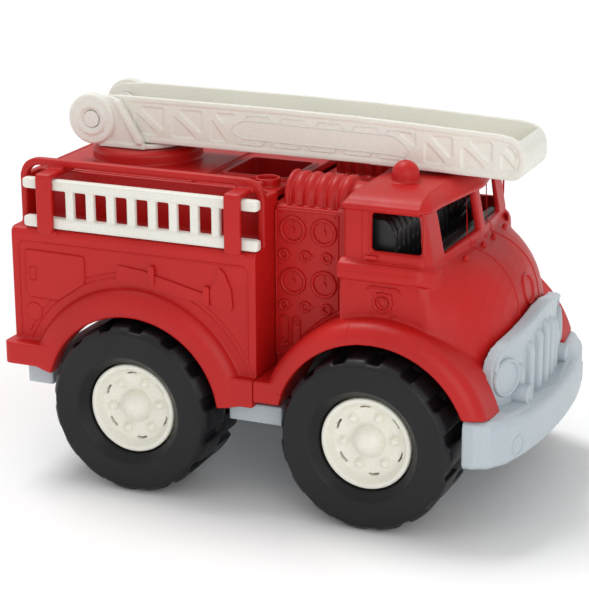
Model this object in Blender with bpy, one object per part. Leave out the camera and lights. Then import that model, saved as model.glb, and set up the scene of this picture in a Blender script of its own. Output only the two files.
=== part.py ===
"""Toy fire engine: moulded plastic truck with a turning, lifting aerial ladder.

All dimensions are in millimetres and are turned into metres when a mesh is made.
+X is forward, +Y is the truck's left side, +Z is up, the ground is z = 0.
"""
import math

import bmesh
import bpy

MM = 0.001
GAP = 0.3

# wheels
WHEEL_R = 42.4
TYRE_IN, TYRE_OUT = 40.0, 82.0
HUB_OUT = 77.0
WHEEL_SEAT_R = 23.0
HUB_R = 22.0
REAR_X, FRONT_X = -61.8, 60.0
AXLE_R = 4.0
AXLE_HOLE_R = 4.5

# rear body
REAR_END, REAR_FRONT = -129.5, 2.0
SIDE_Y = 71.0
HOOP_Y = 60.0
RECESS_Y = 46.0
DECK_EDGE_Y = 43.6
SILL_Z = 57.0
LEDGE_Z = 126.0
DECK_Z = 150.0
HOOP_Z = 158.5
WALL = 2.5
ARCH_R = 46.0
FLARE_R = 59.4
FLARE_Y = 78.0
STEP_END, STEP_FRONT, STEP_Z = -132.5, -104.0, 68.3
STRAP_X, STRAP_LENGTH = (-113.2, -13.0), 8.4
STRAP_OUT, STRAP_TOP = 73.4, 154.2

# front body
PUMP_Y = 48.0
PUMP_TOP = 144.0
CAB_BACK = 41.5
CAB_Y = 60.0
CAB_LOW_Y = 64.0
LIP_Z = 150.0
RAKE, RAKE_Z = 0.2, 127.0
VISOR = 2.6
ROOF_Z = 157.5
FRONT_ARCH_X = 61.5
FRONT_ARCH_R = 47.5
FRONT_FLARE_R = 57.8
NOSE_X = 115.0
NOSE_WALL = 3.0
REEL_Y, REEL_Z, REEL_R, HOSE_R = 33.0, 146.0, 12.4, 9.4
HOSE_PITCH, HOSE_TURNS = 5.9, 5
BEACON_X, BEACON_Y = 61.3, 31.0

# grille and bumper
BUMPER_Z0, BUMPER_Z1 = 36.5, 56.7
BAR_PITCH, BAR_HALF = 10.0, 2.7
HEADLAMP_Y, HEADLAMP_Z, HEADLAMP_R = 43.2, 73.0, 9.2
SIDELAMP_Y, SIDELAMP_Z, SIDELAMP_R = 33.0, 60.5, 4.6

# aerial ladder
TABLE_X = -89.6
TABLE_R = 21.3
TABLE_Z0, TABLE_Z1 = 157.3, 159.8
PEDESTAL_R = 28.0
PIVOT_X, PIVOT_Z = -109.5, 171.2
BOOM_Y = 17.8
BOOM_Z0, BOOM_Z1 = 160.4, 183.4
BOOM_TIP = 115.0
BOOM_DROP = 158.6
BOSS_R = 12.8
EAR_IN, EAR_OUT, BOSS_OUT = 18.1, 21.0, 23.2
PIN_R = 4.2

# side ladders
LOW_RAIL_Z, HIGH_RAIL_Z = (126.3, 132.4), (146.7, 151.0)
RAIL_X = (-122.5, 3.0)
RAIL_Y = (65.6, 70.2)
RUNG_X, RUNG_COUNT, RUNG_HALF = (-97.0, -19.0), 8, 2.2

# chassis
CHASSIS_Z0, CHASSIS_Z1 = 36.0, 54.0
SPINE_Y = 38.0

COLOURS = {
    "red": ((0.53, 0.020, 0.018, 1.0), 0.42),
    "ivory": ((0.80, 0.77, 0.68, 1.0), 0.42),
    "grey": ((0.47, 0.53, 0.57, 1.0), 0.45),
    "tyre": ((0.022, 0.022, 0.025, 1.0), 0.50),
    "black": ((0.018, 0.018, 0.020, 1.0), 0.38),
}


def clear_scene():
    for obj in list(bpy.data.objects):
        bpy.data.objects.remove(obj, do_unlink=True)


def material(name):
    mat = bpy.data.materials.get(name)
    if mat is None:
        mat = bpy.data.materials.new(name)
        mat.use_nodes = True
        shader = mat.node_tree.nodes["Principled BSDF"]
        colour, roughness = COLOURS[name]
        shader.inputs["Base Color"].default_value = colour
        shader.inputs["Roughness"].default_value = roughness
        shader.inputs["Metallic"].default_value = 0.0
        mat.diffuse_color = colour
    return mat


def new_object(name, bm):
    bmesh.ops.scale(bm, vec=(MM, MM, MM), verts=bm.verts)
    bmesh.ops.recalc_face_normals(bm, faces=bm.faces)
    mesh = bpy.data.meshes.new(name)
    bm.to_mesh(mesh)
    bm.free()
    obj = bpy.data.objects.new(name, mesh)
    bpy.context.scene.collection.objects.link(obj)
    return obj


def prism(outline, axis, low, high):
    """Solid from a closed outline, extruded along one axis.

    The outline gives (x, z) for axis y, (x, y) for axis z, (y, z) for axis x.
    """
    def place(point, depth):
        a, b = point
        return {"x": (depth, a, b), "y": (a, depth, b), "z": (a, b, depth)}[axis]

    bm = bmesh.new()
    bottom = [bm.verts.new(place(p, low)) for p in outline]
    top = [bm.verts.new(place(p, high)) for p in outline]
    bm.faces.new(bottom)
    bm.faces.new(list(reversed(top)))
    count = len(outline)
    for i in range(count):
        j = (i + 1) % count
        bm.faces.new((bottom[j], bottom[i], top[i], top[j]))
    return new_object("tmp", bm)


def box(x0, x1, y0, y1, z0, z1):
    return prism([(x0, z0), (x1, z0), (x1, z1), (x0, z1)], "y", y0, y1)


def circle(cx, cy, radius, count=36, start=0.0, end=360.0):
    full = abs(end - start - 360.0) < 1e-6
    steps = count if full else count + 1
    points = []
    for i in range(steps):
        angle = math.radians(start + (end - start) * i / count)
        points.append((cx + radius * math.cos(angle), cy + radius * math.sin(angle)))
    return points


def cylinder(axis, centre, radius, low, high, count=36):
    return prism(circle(centre[0], centre[1], radius, count), axis, low, high)


def rounded_rect(x0, x1, z0, z1, radii, count=5):
    """Outline with corner radii given as (low-low, high-low, high-high, low-high)."""
    corners = ((x0, z0, 1, 1, 180), (x1, z0, -1, 1, 270), (x1, z1, -1, -1, 0), (x0, z1, 1, -1, 90))
    points = []
    for (cx, cz, sx, sz, start), radius in zip(corners, radii):
        if radius <= 0:
            points.append((cx, cz))
        else:
            points += circle(cx + sx * radius, cz + sz * radius, radius, count, start, start + 90)
    return points


def revolve(profile, axis, centre, count=36, start=0.0, end=360.0):
    """Ring swept round an axis; profile points are (radius, position along the axis)."""
    full = abs(end - start - 360.0) < 1e-6
    steps = count if full else count + 1
    bm = bmesh.new()
    rings = []
    for i in range(steps):
        angle = math.radians(start + (end - start) * i / count)
        ring = []
        for radius, pos in profile:
            a = centre[0] + radius * math.cos(angle)
            b = centre[1] + radius * math.sin(angle)
            point = {"x": (pos, a, b), "y": (a, pos, b), "z": (a, b, pos)}[axis]
            ring.append(bm.verts.new(point))
        rings.append(ring)
    size = len(profile)
    for i in range(steps if full else steps - 1):
        ring, after = rings[i], rings[(i + 1) % steps]
        for k in range(size):
            m = (k + 1) % size
            bm.faces.new((ring[k], ring[m], after[m], after[k]))
    if not full:
        bm.faces.new(rings[0])
        bm.faces.new(list(reversed(rings[-1])))
    bmesh.ops.remove_doubles(bm, verts=bm.verts, dist=1e-5)
    return new_object("tmp", bm)


def lathe(profile, axis, centre, count=36):
    """Solid of revolution; the first and last profile points lie on the axis."""
    return revolve(profile, axis, centre, count)


def combine(name, base, colour, steps=(), origin=None, smooth=None):
    """Apply boolean steps to base, name it and give it its material."""
    for operation, tool in steps:
        modifier = base.modifiers.new("bool", "BOOLEAN")
        modifier.operation = operation
        modifier.solver = "EXACT"
        modifier.object = tool
        bpy.context.view_layer.update()
        evaluated = base.evaluated_get(bpy.context.evaluated_depsgraph_get())
        mesh = bpy.data.meshes.new_from_object(evaluated)
        base.modifiers.clear()
        base.data = mesh
        bpy.data.objects.remove(tool, do_unlink=True)
    bm = bmesh.new()
    bm.from_mesh(base.data)
    bmesh.ops.remove_doubles(bm, verts=bm.verts, dist=1e-6)
    bmesh.ops.dissolve_degenerate(bm, edges=bm.edges, dist=1e-6)
    bmesh.ops.dissolve_limit(bm, angle_limit=0.002, verts=bm.verts, edges=bm.edges)
    bmesh.ops.recalc_face_normals(bm, faces=bm.faces)
    bm.to_mesh(base.data)
    bm.free()
    base.data.materials.clear()
    base.name = name
    base.data.name = name
    if colour is not None:
        base.data.materials.append(material(colour))
    if origin is not None:
        ox, oy, oz = (c * MM for c in origin)
        for vert in base.data.vertices:
            vert.co.x -= ox
            vert.co.y -= oy
            vert.co.z -= oz
        base.location = (ox, oy, oz)
    if smooth is not None:
        base.data.set_sharp_from_angle(angle=math.radians(smooth))
        for face in base.data.polygons:
            face.use_smooth = True
    return base


def span(side, a, b):
    """Low and high Y for a band between |y| = a and |y| = b on one side."""
    return (a, b) if side > 0 else (-b, -a)


def flare(centre_x, arch_r, outer_r, inner_y, outer_y, side, start, end):
    """Rolled wheel-arch flare on one side."""
    width = outer_r - arch_r
    profile = [(arch_r, inner_y), (arch_r, outer_y), (arch_r + width * 0.25, outer_y),
               (arch_r + width * 0.55, outer_y - 1.4), (arch_r + width * 0.82, outer_y - 3.8),
               (outer_r, outer_y - 7.2), (outer_r, inner_y)]
    profile = [(r, side * y) for r, y in profile]
    return revolve(profile, "y", (centre_x, WHEEL_R), 20, start, end)


# ---------------------------------------------------------------- rear body

def build_rear_body():
    low = box(REAR_END, REAR_FRONT, -SIDE_Y, SIDE_Y, SILL_Z, LEDGE_Z)
    inner_x0, inner_x1 = REAR_END + WALL, REAR_FRONT - WALL
    steps = []
    outline = rounded_rect(REAR_END, REAR_FRONT, LEDGE_Z - 6, HOOP_Z, (0, 0, 12, 12))
    for side in (-1, 1):
        plate = prism(outline, "y", *span(side, RECESS_Y - 2.0, HOOP_Y))
        steps.append(("UNION", plate))
    steps.append(("UNION", box(REAR_END, REAR_END + WALL, -HOOP_Y, HOOP_Y, LEDGE_Z - 6, DECK_Z)))
    steps.append(("UNION", box(REAR_FRONT - WALL, REAR_FRONT, -HOOP_Y, HOOP_Y, LEDGE_Z - 6, DECK_Z - 6)))
    steps.append(("UNION", box(STEP_END, STEP_FRONT, -FLARE_Y, FLARE_Y, SILL_Z, STEP_Z)))
    for side in (-1, 1):
        steps.append(("UNION", flare(REAR_X, ARCH_R, FLARE_R, SIDE_Y - 1.5, FLARE_Y, side, 8, 165)))
        steps.append(("UNION", box(-10.0, REAR_FRONT, *span(side, SIDE_Y - 3.5, 76.0), 51.0, 65.0)))
    # hollow inside, open below
    steps.append(("DIFFERENCE", box(inner_x0, inner_x1, -SIDE_Y + WALL, SIDE_Y - WALL, 40.0, LEDGE_Z - WALL)))
    steps.append(("DIFFERENCE", box(inner_x0, inner_x1, -DECK_EDGE_Y - 0.4, DECK_EDGE_Y + 0.4,
                                    LEDGE_Z - 4.0, HOOP_Z + 5.0)))
    recess = rounded_rect(REAR_END + 3.5, REAR_FRONT - 3.5, LEDGE_Z, HOOP_Z - 3.5, (0, 0, 9, 9))
    for side in (-1, 1):
        steps.append(("DIFFERENCE", prism(recess, "y", *span(side, RECESS_Y, 90.0))))
        steps.append(("DIFFERENCE", cylinder("y", (REAR_X, WHEEL_R), ARCH_R, *span(side, 60.0, 90.0))))
        # the hoop rail stands above the deck at the outer edge only
        steps.append(("DIFFERENCE", box(REAR_END - 1, REAR_FRONT + 1, *span(side, 30.0, HOOP_Y - 4.0),
                                        DECK_Z, HOOP_Z + 5.0)))
    # brackets that hold the side ladders
    for side in (-1, 1):
        for x0 in STRAP_X:
            strap = [(STRAP_OUT - 2.8, LEDGE_Z - 1), (STRAP_OUT, LEDGE_Z - 1), (STRAP_OUT, STRAP_TOP - 1.7),
                     (STRAP_OUT - 1.6, STRAP_TOP), (RECESS_Y - 1, STRAP_TOP), (RECESS_Y - 1, STRAP_TOP - 2.8),
                     (STRAP_OUT - 2.8, STRAP_TOP - 2.8)]
            outer = prism(strap, "x", x0, x0 + STRAP_LENGTH)
            if side < 0:
                for vert in outer.data.vertices:
                    vert.co.y = -vert.co.y
                outer.data.flip_normals()
            steps.append(("UNION", outer))
            steps.append(("UNION", box(x0, x0 + 4.4, *span(side, 62.6, 65.2), LEDGE_Z - 1, 152.5)))
    return combine("rear_body", low, "red", steps, smooth=30)


# ---------------------------------------------------------------- deck

def build_deck():
    plate_x = (REAR_END + WALL + GAP, REAR_FRONT - WALL - GAP)
    plate = box(*plate_x, -DECK_EDGE_Y, DECK_EDGE_Y, DECK_Z - 5.0, DECK_Z)
    pedestal = lathe([(0, DECK_Z - 1), (PEDESTAL_R, DECK_Z - 1), (PEDESTAL_R, 155.2),
                      (PEDESTAL_R - 1.8, 157.0), (0, 157.0)], "z", (TABLE_X, 0.0))
    steps = [("UNION", pedestal)]
    steps.append(("UNION", box(-40.5, -2.5, -19.5, 19.5, 127.5, DECK_Z - 1)))
    steps.append(("DIFFERENCE", box(-38.0, -5.0, -17.0, 17.0, 130.0, 170.0)))
    steps.append(("UNION", cylinder("z", (-9.0, -31.0), 6.2, DECK_Z - 1, DECK_Z + 2.8, 28)))
    steps.append(("DIFFERENCE", cylinder("z", (-9.0, -31.0), 4.6, DECK_Z + 0.2, DECK_Z + 9, 24)))
    steps.append(("DIFFERENCE", cylinder("z", (TABLE_X, 0.0), 7.4, DECK_Z - 20, DECK_Z + 20)))
    return combine("deck", plate, "red", steps, smooth=30)


# ---------------------------------------------------------------- front body

def nose_side_outline(top, front=0.0):
    """Side outline of cab and bonnet, (x, z); the front and crown are moved in by front."""
    crown = [(NOSE_X, 88.0), (NOSE_X - 0.4, 98.0), (113.2, 105.0), (110.6, 110.8), (107.0, 115.4),
             (102.0, 119.6), (96.0, 123.0), (90.5, 125.0)]
    crown = [(x - front, min(z - front * 0.7, top)) for x, z in crown]
    return [(CAB_BACK, SILL_Z), (110.0 - front, SILL_Z), (114.0 - front, 70.0)] + crown + [(CAB_BACK, top)]


def nose_plan_outline(back=CAB_BACK, wall=0.0):
    """Plan outline of the bonnet, (x, y); the sides and front are moved in by wall."""
    right = [(88.0, -CAB_LOW_Y), (94.0, -61.5), (100.0, -56.0), (105.5, -48.0), (110.0, -37.0), (113.0, -24.0),
             (114.6, -12.0)]
    right = [(back, -CAB_LOW_Y + wall)] + [(x - wall * 0.8, y + wall * 0.8) for x, y in right]
    return right + [(NOSE_X - wall, 0.0)] + [(x, -y) for x, y in reversed(right)]


def cab_plan(grow=0.0):
    """Plan outline of the upper cab, (x, y)."""
    y = CAB_Y + grow
    right = [(CAB_BACK - grow, -y), (80.0, -y), (84.5, -y + 2.0), (87.0 + grow, -y + 7.0), (89.0 + grow, -30.0)]
    return right + [(91.0 + grow, 0.0)] + [(px, -py) for px, py in reversed(right)]


def roof_solid():
    """Crowned roof built as stacked plan outlines."""
    levels = ((150.0, 0.0, 1.0), (151.5, 1.2, 1.0), (153.6, 0.0, 0.985), (155.6, 0.0, 0.94),
              (156.9, 0.0, 0.86), (ROOF_Z, 0.0, 0.74))
    bm = bmesh.new()
    rings = []
    centre_x = 66.0
    for z, grow, scale in levels:
        ring = []
        for px, py in cab_plan(grow):
            px += VISOR if px > centre_x else 0.0
            ring.append(bm.verts.new((centre_x + (px - centre_x) * scale, py * scale, z)))
        rings.append(ring)
    count = len(rings[0])
    for lower, upper in zip(rings, rings[1:]):
        for i in range(count):
            j = (i + 1) % count
            bm.faces.new((lower[i], lower[j], upper[j], upper[i]))
    bm.faces.new(list(reversed(rings[0])))
    bm.faces.new(rings[-1])
    return new_object("tmp", bm)


def rake_windscreen(body):
    """Lean the cab's front wall and pillars back, from the belt up to the roof."""
    for vert in body.data.vertices:
        x, z = vert.co.x / MM, vert.co.z / MM
        share = min(max((x - 77.0) / 8.0, 0.0), 1.0)
        vert.co.x -= RAKE * share * min(max(z - RAKE_Z, 0.0), LIP_Z - RAKE_Z) * MM


def build_front_body():
    base = prism(nose_plan_outline(), "z", SILL_Z, 126.0)
    steps = [("INTERSECT", prism(nose_side_outline(125.0), "y", -90.0, 90.0))]
    steps.append(("UNION", prism(cab_plan(), "z", 124.0, 150.5)))
    steps.append(("UNION", roof_solid()))
    steps.append(("UNION", box(REAR_FRONT + GAP, CAB_BACK + 1, -PUMP_Y, PUMP_Y, SILL_Z, PUMP_TOP)))
    for side in (-1, 1):
        arch = flare(FRONT_ARCH_X, FRONT_ARCH_R, FRONT_FLARE_R, 44.0, FLARE_Y - 1, side, 13, 158)
        clear = box(109.7, 130.0, *span(side, 40.0, 53.0), 40.0, 100.0)
        under = [(side * 40.0, 57.0), (side * 52.0, 57.0), (side * 90.0, 62.4), (side * 90.0, 20.0),
                 (side * 40.0, 20.0)]
        arch = combine("tmp", arch, None, [("DIFFERENCE", clear), ("DIFFERENCE", prism(under, "x", 90.0, 130.0))])
        steps.append(("UNION", arch))
        steps.append(("UNION", box(REAR_FRONT + GAP, 22.0, *span(side, PUMP_Y - 1, 76.0), 54.4, 65.0)))
    # hollow pump housing and cab, open below
    steps.append(("DIFFERENCE", box(REAR_FRONT + 3.0, CAB_BACK - 3.0, -PUMP_Y + WALL, PUMP_Y - WALL, 40.0,
                                    PUMP_TOP - WALL)))
    hollow = prism(nose_plan_outline(CAB_BACK + WALL, NOSE_WALL), "z", 30.0, 117.5)
    under = [(x, z - 20.0 if z == SILL_Z else z) for x, z in nose_side_outline(117.5, NOSE_WALL + 0.5)]
    hollow = combine("tmp", hollow, None, [("INTERSECT", prism(under, "y", -90.0, 90.0))])
    steps.append(("DIFFERENCE", hollow))
    cavity = [(CAB_BACK + WALL, -CAB_Y + WALL), (82.0, -CAB_Y + WALL), (85.0, -50.0), (86.5, -30.0),
              (88.5, 0.0), (86.5, 30.0), (85.0, 50.0), (82.0, CAB_Y - WALL), (CAB_BACK + WALL, CAB_Y - WALL)]
    steps.append(("DIFFERENCE", prism(cavity, "z", 110.0, 153.2)))
    side_window = rounded_rect(55.5, 81.5, 130.5, 148.6, (2, 2, 2, 2), 3)
    steps.append(("DIFFERENCE", prism(side_window, "y", -90.0, 90.0)))
    for side in (-1, 1):
        pane = rounded_rect(side * 27.0 - 23.5, side * 27.0 + 23.5, 129.0, 148.6, (2, 2, 2, 2), 3)
        steps.append(("DIFFERENCE", prism(pane, "x", 84.0, 130.0)))
        steps.append(("DIFFERENCE", cylinder("y", (FRONT_ARCH_X, WHEEL_R + 0.6), FRONT_ARCH_R,
                                             *span(side, 39.0, 90.0))))
    beacon = [(0, 153.5), (8.4, 153.5), (8.4, 155.8), (6.9, 157.4), (6.6, 161.2), (4.4, 165.8), (0, 167.5)]
    reel = [(0, 5.5), (REEL_R, 5.5), (REEL_R, 7.5), (HOSE_R, 8.0)]
    for k in range(HOSE_TURNS):
        x0 = 8.0 + HOSE_PITCH * k
        reel += [(REEL_R - 0.4, x0 + 1.6), (REEL_R - 0.4, x0 + 4.3), (HOSE_R, x0 + HOSE_PITCH)]
    reel += [(HOSE_R, CAB_BACK + 1.0), (0, CAB_BACK + 1.0)]
    for side in (-1, 1):
        steps.append(("UNION", lathe(beacon, "z", (BEACON_X, side * BEACON_Y), 18)))
        steps.append(("UNION", lathe(reel, "x", (side * REEL_Y, REEL_Z), 18)))
    steps.append(("UNION", box(77.0, 82.0, -12.0, 12.0, 155.6, 158.6)))
    body = combine("front_body", base, "red", steps, smooth=30)
    rake_windscreen(body)
    return body


# ---------------------------------------------------------------- grey parts

def build_chassis():
    base = box(-124.0, 88.0, -SPINE_Y, SPINE_Y, CHASSIS_Z0, CHASSIS_Z1)
    steps = [("DIFFERENCE", box(-121.0, 85.0, -SPINE_Y + 3, SPINE_Y - 3, CHASSIS_Z0 + 3, 90.0))]
    steps.append(("UNION", box(-15.0, 13.0, -66.0, 66.0, 40.0, 49.7)))
    steps.append(("UNION", box(-126.0, -112.0, -66.0, 66.0, 44.0, CHASSIS_Z1)))
    for x in (REAR_X, FRONT_X):
        steps.append(("UNION", box(x - 9.0, x + 9.0, -SPINE_Y + 1, SPINE_Y - 1, CHASSIS_Z0 + 1, 51.0)))
    for x in (REAR_X, FRONT_X):
        steps.append(("DIFFERENCE", cylinder("y", (x, WHEEL_R), AXLE_HOLE_R, -60.0, 60.0, 32)))
    return combine("chassis", base, "grey", steps, smooth=30)


def build_bumper():
    """Grille, lamps and wrap-round bumper moulded as one piece."""
    front = [(112.0, -76.5), (119.0, -73.0), (124.5, -63.0), (128.4, -48.0), (131.0, -30.0), (132.2, -14.0)]
    plan = [(106.0, -76.5)] + front + [(132.5, 0.0)] + [(x, -y) for x, y in reversed(front)] + [(106.0, 76.5)]
    plan += [(106.0, 62.0), (111.3, 50.0), (111.3, -50.0), (106.0, -62.0)]
    base = prism(plan, "z", BUMPER_Z0, BUMPER_Z1 + 4.0)
    above = [(-90.0, 62.1), (-52.0, BUMPER_Z1), (52.0, BUMPER_Z1), (90.0, 62.1), (90.0, 70.0), (-90.0, 70.0)]
    base = combine("tmp", base, None, [("DIFFERENCE", prism(above, "x", 90.0, 140.0))])
    face = [(-52.4, 55.0), (52.4, 55.0), (52.4, 80.0), (46.6, 89.3), (38.0, 91.4), (7.0, 96.2), (-7.0, 96.2),
            (-38.0, 91.4), (-46.6, 89.3), (-52.4, 80.0)]
    face_plan = [(112.0, -52.4), (114.8, -46.6), (117.5, -38.0), (120.0, -24.0), (121.5, -8.0), (121.5, 8.0),
                 (120.0, 24.0), (117.5, 38.0), (114.8, 46.6), (112.0, 52.4), (110.0, 52.4), (115.8, 24.0),
                 (115.8, -24.0), (110.0, -52.4)]
    grille = prism(face_plan, "z", 50.0, 105.0)
    grille = combine("tmp", grille, None, [("INTERSECT", prism(face, "x", 90.0, 140.0))])
    steps = [("UNION", grille)]
    for k in range(-3, 4):
        y = BAR_PITCH * k
        x0, x1 = 116.5 - abs(k) * 0.6, 124.0 - 0.0035 * y * y
        top = (88.5, 87.0, 83.5, 76.0)[abs(k)]
        bar = [(x0, 56.0), (x1, 56.0), (x1, top - 7.0), (x1 - 1.4, top - 2.4), (x1 - 3.6, top), (x0, top)]
        steps.append(("UNION", prism(bar, "y", y - BAR_HALF, y + BAR_HALF)))
    for side in (-1, 1):
        steps.append(("UNION", cylinder("x", (side * HEADLAMP_Y, HEADLAMP_Z), HEADLAMP_R, 113.0, 117.6, 32)))
        steps.append(("UNION", cylinder("x", (side * SIDELAMP_Y, SIDELAMP_Z), SIDELAMP_R, 113.5, 125.2, 24)))
    steps.append(("UNION", box(125.0, 133.0, -10.5, 10.5, 38.0, 53.0)))
    steps.append(("UNION", box(80.0, 112.5, -34.0, 34.0, 36.6, 39.0)))
    steps.append(("DIFFERENCE", box(70.0, 88.4, -90.0, 90.0, 20.0, 56.0)))
    steps.append(("DIFFERENCE", box(132.5, 140.0, -90.0, 90.0, 20.0, 120.0)))
    return combine("grille_bumper", base, "grey", steps, smooth=30)


# ---------------------------------------------------------------- cab interior

def build_interior():
    floor = box(45.0, 87.5, -56.0, 56.0, 104.0, 107.0)
    steps = []
    seat = [(45.5, 106.0), (76.0, 106.0), (76.0, 116.0), (66.5, 118.0), (64.6, 138.0), (61.5, 143.0),
            (56.0, 144.5), (45.5, 144.5)]
    for side in (-1, 1):
        steps.append(("UNION", prism(seat, "y", *span(side, 6.0, 54.0))))
    dash = [(75.0, 106.0), (84.2, 106.0), (84.2, 125.0), (82.0, 127.4), (77.5, 127.4), (75.0, 124.0)]
    steps.append(("UNION", prism(dash, "y", -49.0, 49.0)))
    return combine("cab_interior", floor, "black", steps, smooth=30)


def build_steering_wheel():
    rim_r, thick = 7.6, 1.3
    profile = [(rim_r + a, b) for a, b in circle(0.0, 0.0, thick, 6)]
    rim = revolve(profile, "x", (0.0, 0.0), 28)
    steps = [("UNION", cylinder("x", (0.0, 0.0), 2.4, -0.9, 3.0, 16))]
    steps.append(("UNION", box(-0.6, 0.6, -rim_r, rim_r, -0.9, 0.9)))
    steps.append(("UNION", box(-0.6, 0.6, -0.9, 0.9, -rim_r, rim_r)))
    wheel = combine("steering_wheel", rim, "black", steps, smooth=30)
    wheel.rotation_euler = (0.0, math.radians(30.0), 0.0)
    wheel.location = (72.6 * MM, 27.0 * MM, 133.4 * MM)
    return wheel


# ---------------------------------------------------------------- wheels

def build_axle(name, x):
    base = cylinder("y", (x, WHEEL_R), AXLE_R, -66.0, 66.0, 32)
    return combine(name, base, "black", (), (x, 0.0, WHEEL_R), smooth=30)


def build_tyre(name, x, side):
    """Thin-walled tyre with its wheel disc, open on the side that faces the chassis."""
    outer = TYRE_OUT
    disc, core = HUB_OUT - 12.0, 12.0
    profile = [(AXLE_R + GAP, TYRE_IN), (core, TYRE_IN), (core, disc - 3.0), (WHEEL_SEAT_R + 3.0, disc - 3.0),
               (WHEEL_SEAT_R + 3.0, outer - 6.0), (28.0, outer - 3.2), (36.4, outer - 3.2),
               (WHEEL_R - 3.2, outer - 6.0), (WHEEL_R - 3.2, TYRE_IN + 6.0), (36.0, TYRE_IN),
               (37.5, TYRE_IN), (WHEEL_R, TYRE_IN + 4.5), (WHEEL_R, outer - 3.6), (39.4, outer),
               (WHEEL_SEAT_R + 5.0, outer), (WHEEL_SEAT_R, HUB_OUT - 0.6), (WHEEL_SEAT_R, disc),
               (AXLE_R + GAP, disc)]
    profile = [(r, side * y) for r, y in profile]
    base = revolve(profile, "y", (x, WHEEL_R), 36)
    return combine(name, base, "tyre", (), (x, 0.0, WHEEL_R), smooth=30)


def build_hub(name, x, side):
    inner = HUB_OUT - 11.7
    radius = WHEEL_SEAT_R - GAP
    profile = [(AXLE_R + GAP, inner), (radius, inner), (radius, 76.7), (radius - 2.6, 76.7),
               (radius - 4.2, 72.6), (8.6, 71.8), (7.2, 75.6), (0, 77.8), (0, 67.5), (AXLE_R + GAP, 67.5)]
    profile = [(r, side * y) for r, y in profile]
    base = lathe(profile, "y", (x, WHEEL_R), 28)
    steps = []
    for k in range(6):
        angle = math.radians(60 * k)
        centre = (x + 12.6 * math.cos(angle), WHEEL_R + 12.6 * math.sin(angle))
        steps.append(("UNION", cylinder("y", centre, 2.0, *span(side, 70.0, 74.6), 8)))
    return combine(name, base, "ivory", steps, (x, 0.0, WHEEL_R), smooth=30)


# ---------------------------------------------------------------- aerial ladder

def build_turntable():
    disc = cylinder("z", (TABLE_X, 0.0), TABLE_R, TABLE_Z0, TABLE_Z1)
    steps = [("UNION", box(-106.0, -80.5, -EAR_OUT, EAR_OUT, TABLE_Z0 + 0.1, TABLE_Z1 - 0.1))]
    steps.append(("UNION", cylinder("z", (TABLE_X, 0.0), 7.0, 141.0, TABLE_Z0 + 1, 32)))
    steps.append(("DIFFERENCE", cylinder("z", (TABLE_X, 0.0), 3.0, 130.0, 153.0, 24)))
    web = [(-82.0, TABLE_Z0 + 0.4), (-82.0, 161.4), (-94.5, 181.4), (-98.0, 182.6)]
    web += circle(PIVOT_X, PIVOT_Z, BOSS_R, 20, 70, 250)
    web += [(-105.0, TABLE_Z0 + 0.4)]
    for side in (-1, 1):
        steps.append(("UNION", prism(web, "y", *span(side, EAR_IN, EAR_OUT))))
        steps.append(("UNION", cylinder("y", (PIVOT_X, PIVOT_Z), BOSS_R, *span(side, EAR_IN, BOSS_OUT), 40)))
    steps.append(("DIFFERENCE", cylinder("y", (PIVOT_X, PIVOT_Z), PIN_R + GAP, -30.0, 30.0, 32)))
    return combine("turntable", disc, "ivory", steps, (TABLE_X, 0.0, 150.0), smooth=30)


def build_retainer():
    base = lathe([(0, 136.5), (11.5, 136.5), (11.5, 140.7), (0, 140.7)], "z", (TABLE_X, 0.0), 40)
    post = cylinder("z", (TABLE_X, 0.0), 2.7, 140.0, 151.0, 24)
    return combine("turntable_retainer", base, "ivory", [("UNION", post)], (TABLE_X, 0.0, 150.0), smooth=30)


def boom_outline():
    """Side outline of the boom, (x, z)."""
    bottom, top, tip = BOOM_Z0, BOOM_Z1, BOOM_TIP
    eye = circle(PIVOT_X, PIVOT_Z, 11.2, 14, 90, 250)
    low = [(-103.0, bottom), (30.0, bottom), (tip - 6.0, BOOM_DROP), (tip - 2.4, BOOM_DROP + 1.2)]
    nose = [(tip, BOOM_DROP + 5.4), (tip, 168.0), (tip - 1.0, 174.0), (tip - 3.6, 177.4), (102.0, 180.0)]
    return [(-96.0, top)] + eye + low + nose + [(30.0, 182.8)]


def build_boom():
    base = prism(boom_outline(), "y", -BOOM_Y, BOOM_Y)
    inner = BOOM_Y - 2.4
    trough = [(-95.0, BOOM_Z0 + 2.4), (BOOM_TIP - 4.2, BOOM_Z0 + 2.4), (BOOM_TIP - 2.6, 168.0), (110.0, 190.0),
              (-95.0, 190.0)]
    steps = [("DIFFERENCE", prism(trough, "y", -inner, inner))]
    steps.append(("DIFFERENCE", box(-130.0, -94.0, -inner, inner, 150.0, 190.0)))
    steps.append(("UNION", box(-97.0, -94.0, -inner - 0.5, inner + 0.5, BOOM_Z0, BOOM_Z0 + 12.0)))
    for k in range(9):
        x0 = -76.0 + 20.0 * k
        steps.append(("UNION", box(x0, x0 + 4.0, -inner - 0.5, inner + 0.5, BOOM_Z0 + 1.0, BOOM_Z0 + 4.6)))
    steps.append(("DIFFERENCE", cylinder("y", (PIVOT_X, PIVOT_Z), PIN_R + GAP, -30.0, 30.0, 32)))
    return combine("aerial_ladder", base, "ivory", steps, (PIVOT_X, 0.0, PIVOT_Z), smooth=30)


def build_pivot_pin(name, side):
    base = cylinder("y", (PIVOT_X, PIVOT_Z), PIN_R, *span(side, 14.2, 22.6), 32)
    head = cylinder("y", (PIVOT_X, PIVOT_Z), 6.5, *span(side, 13.0, 15.1), 32)
    return combine(name, base, "ivory", [("UNION", head)], (PIVOT_X, 0.0, PIVOT_Z), smooth=30)


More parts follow.
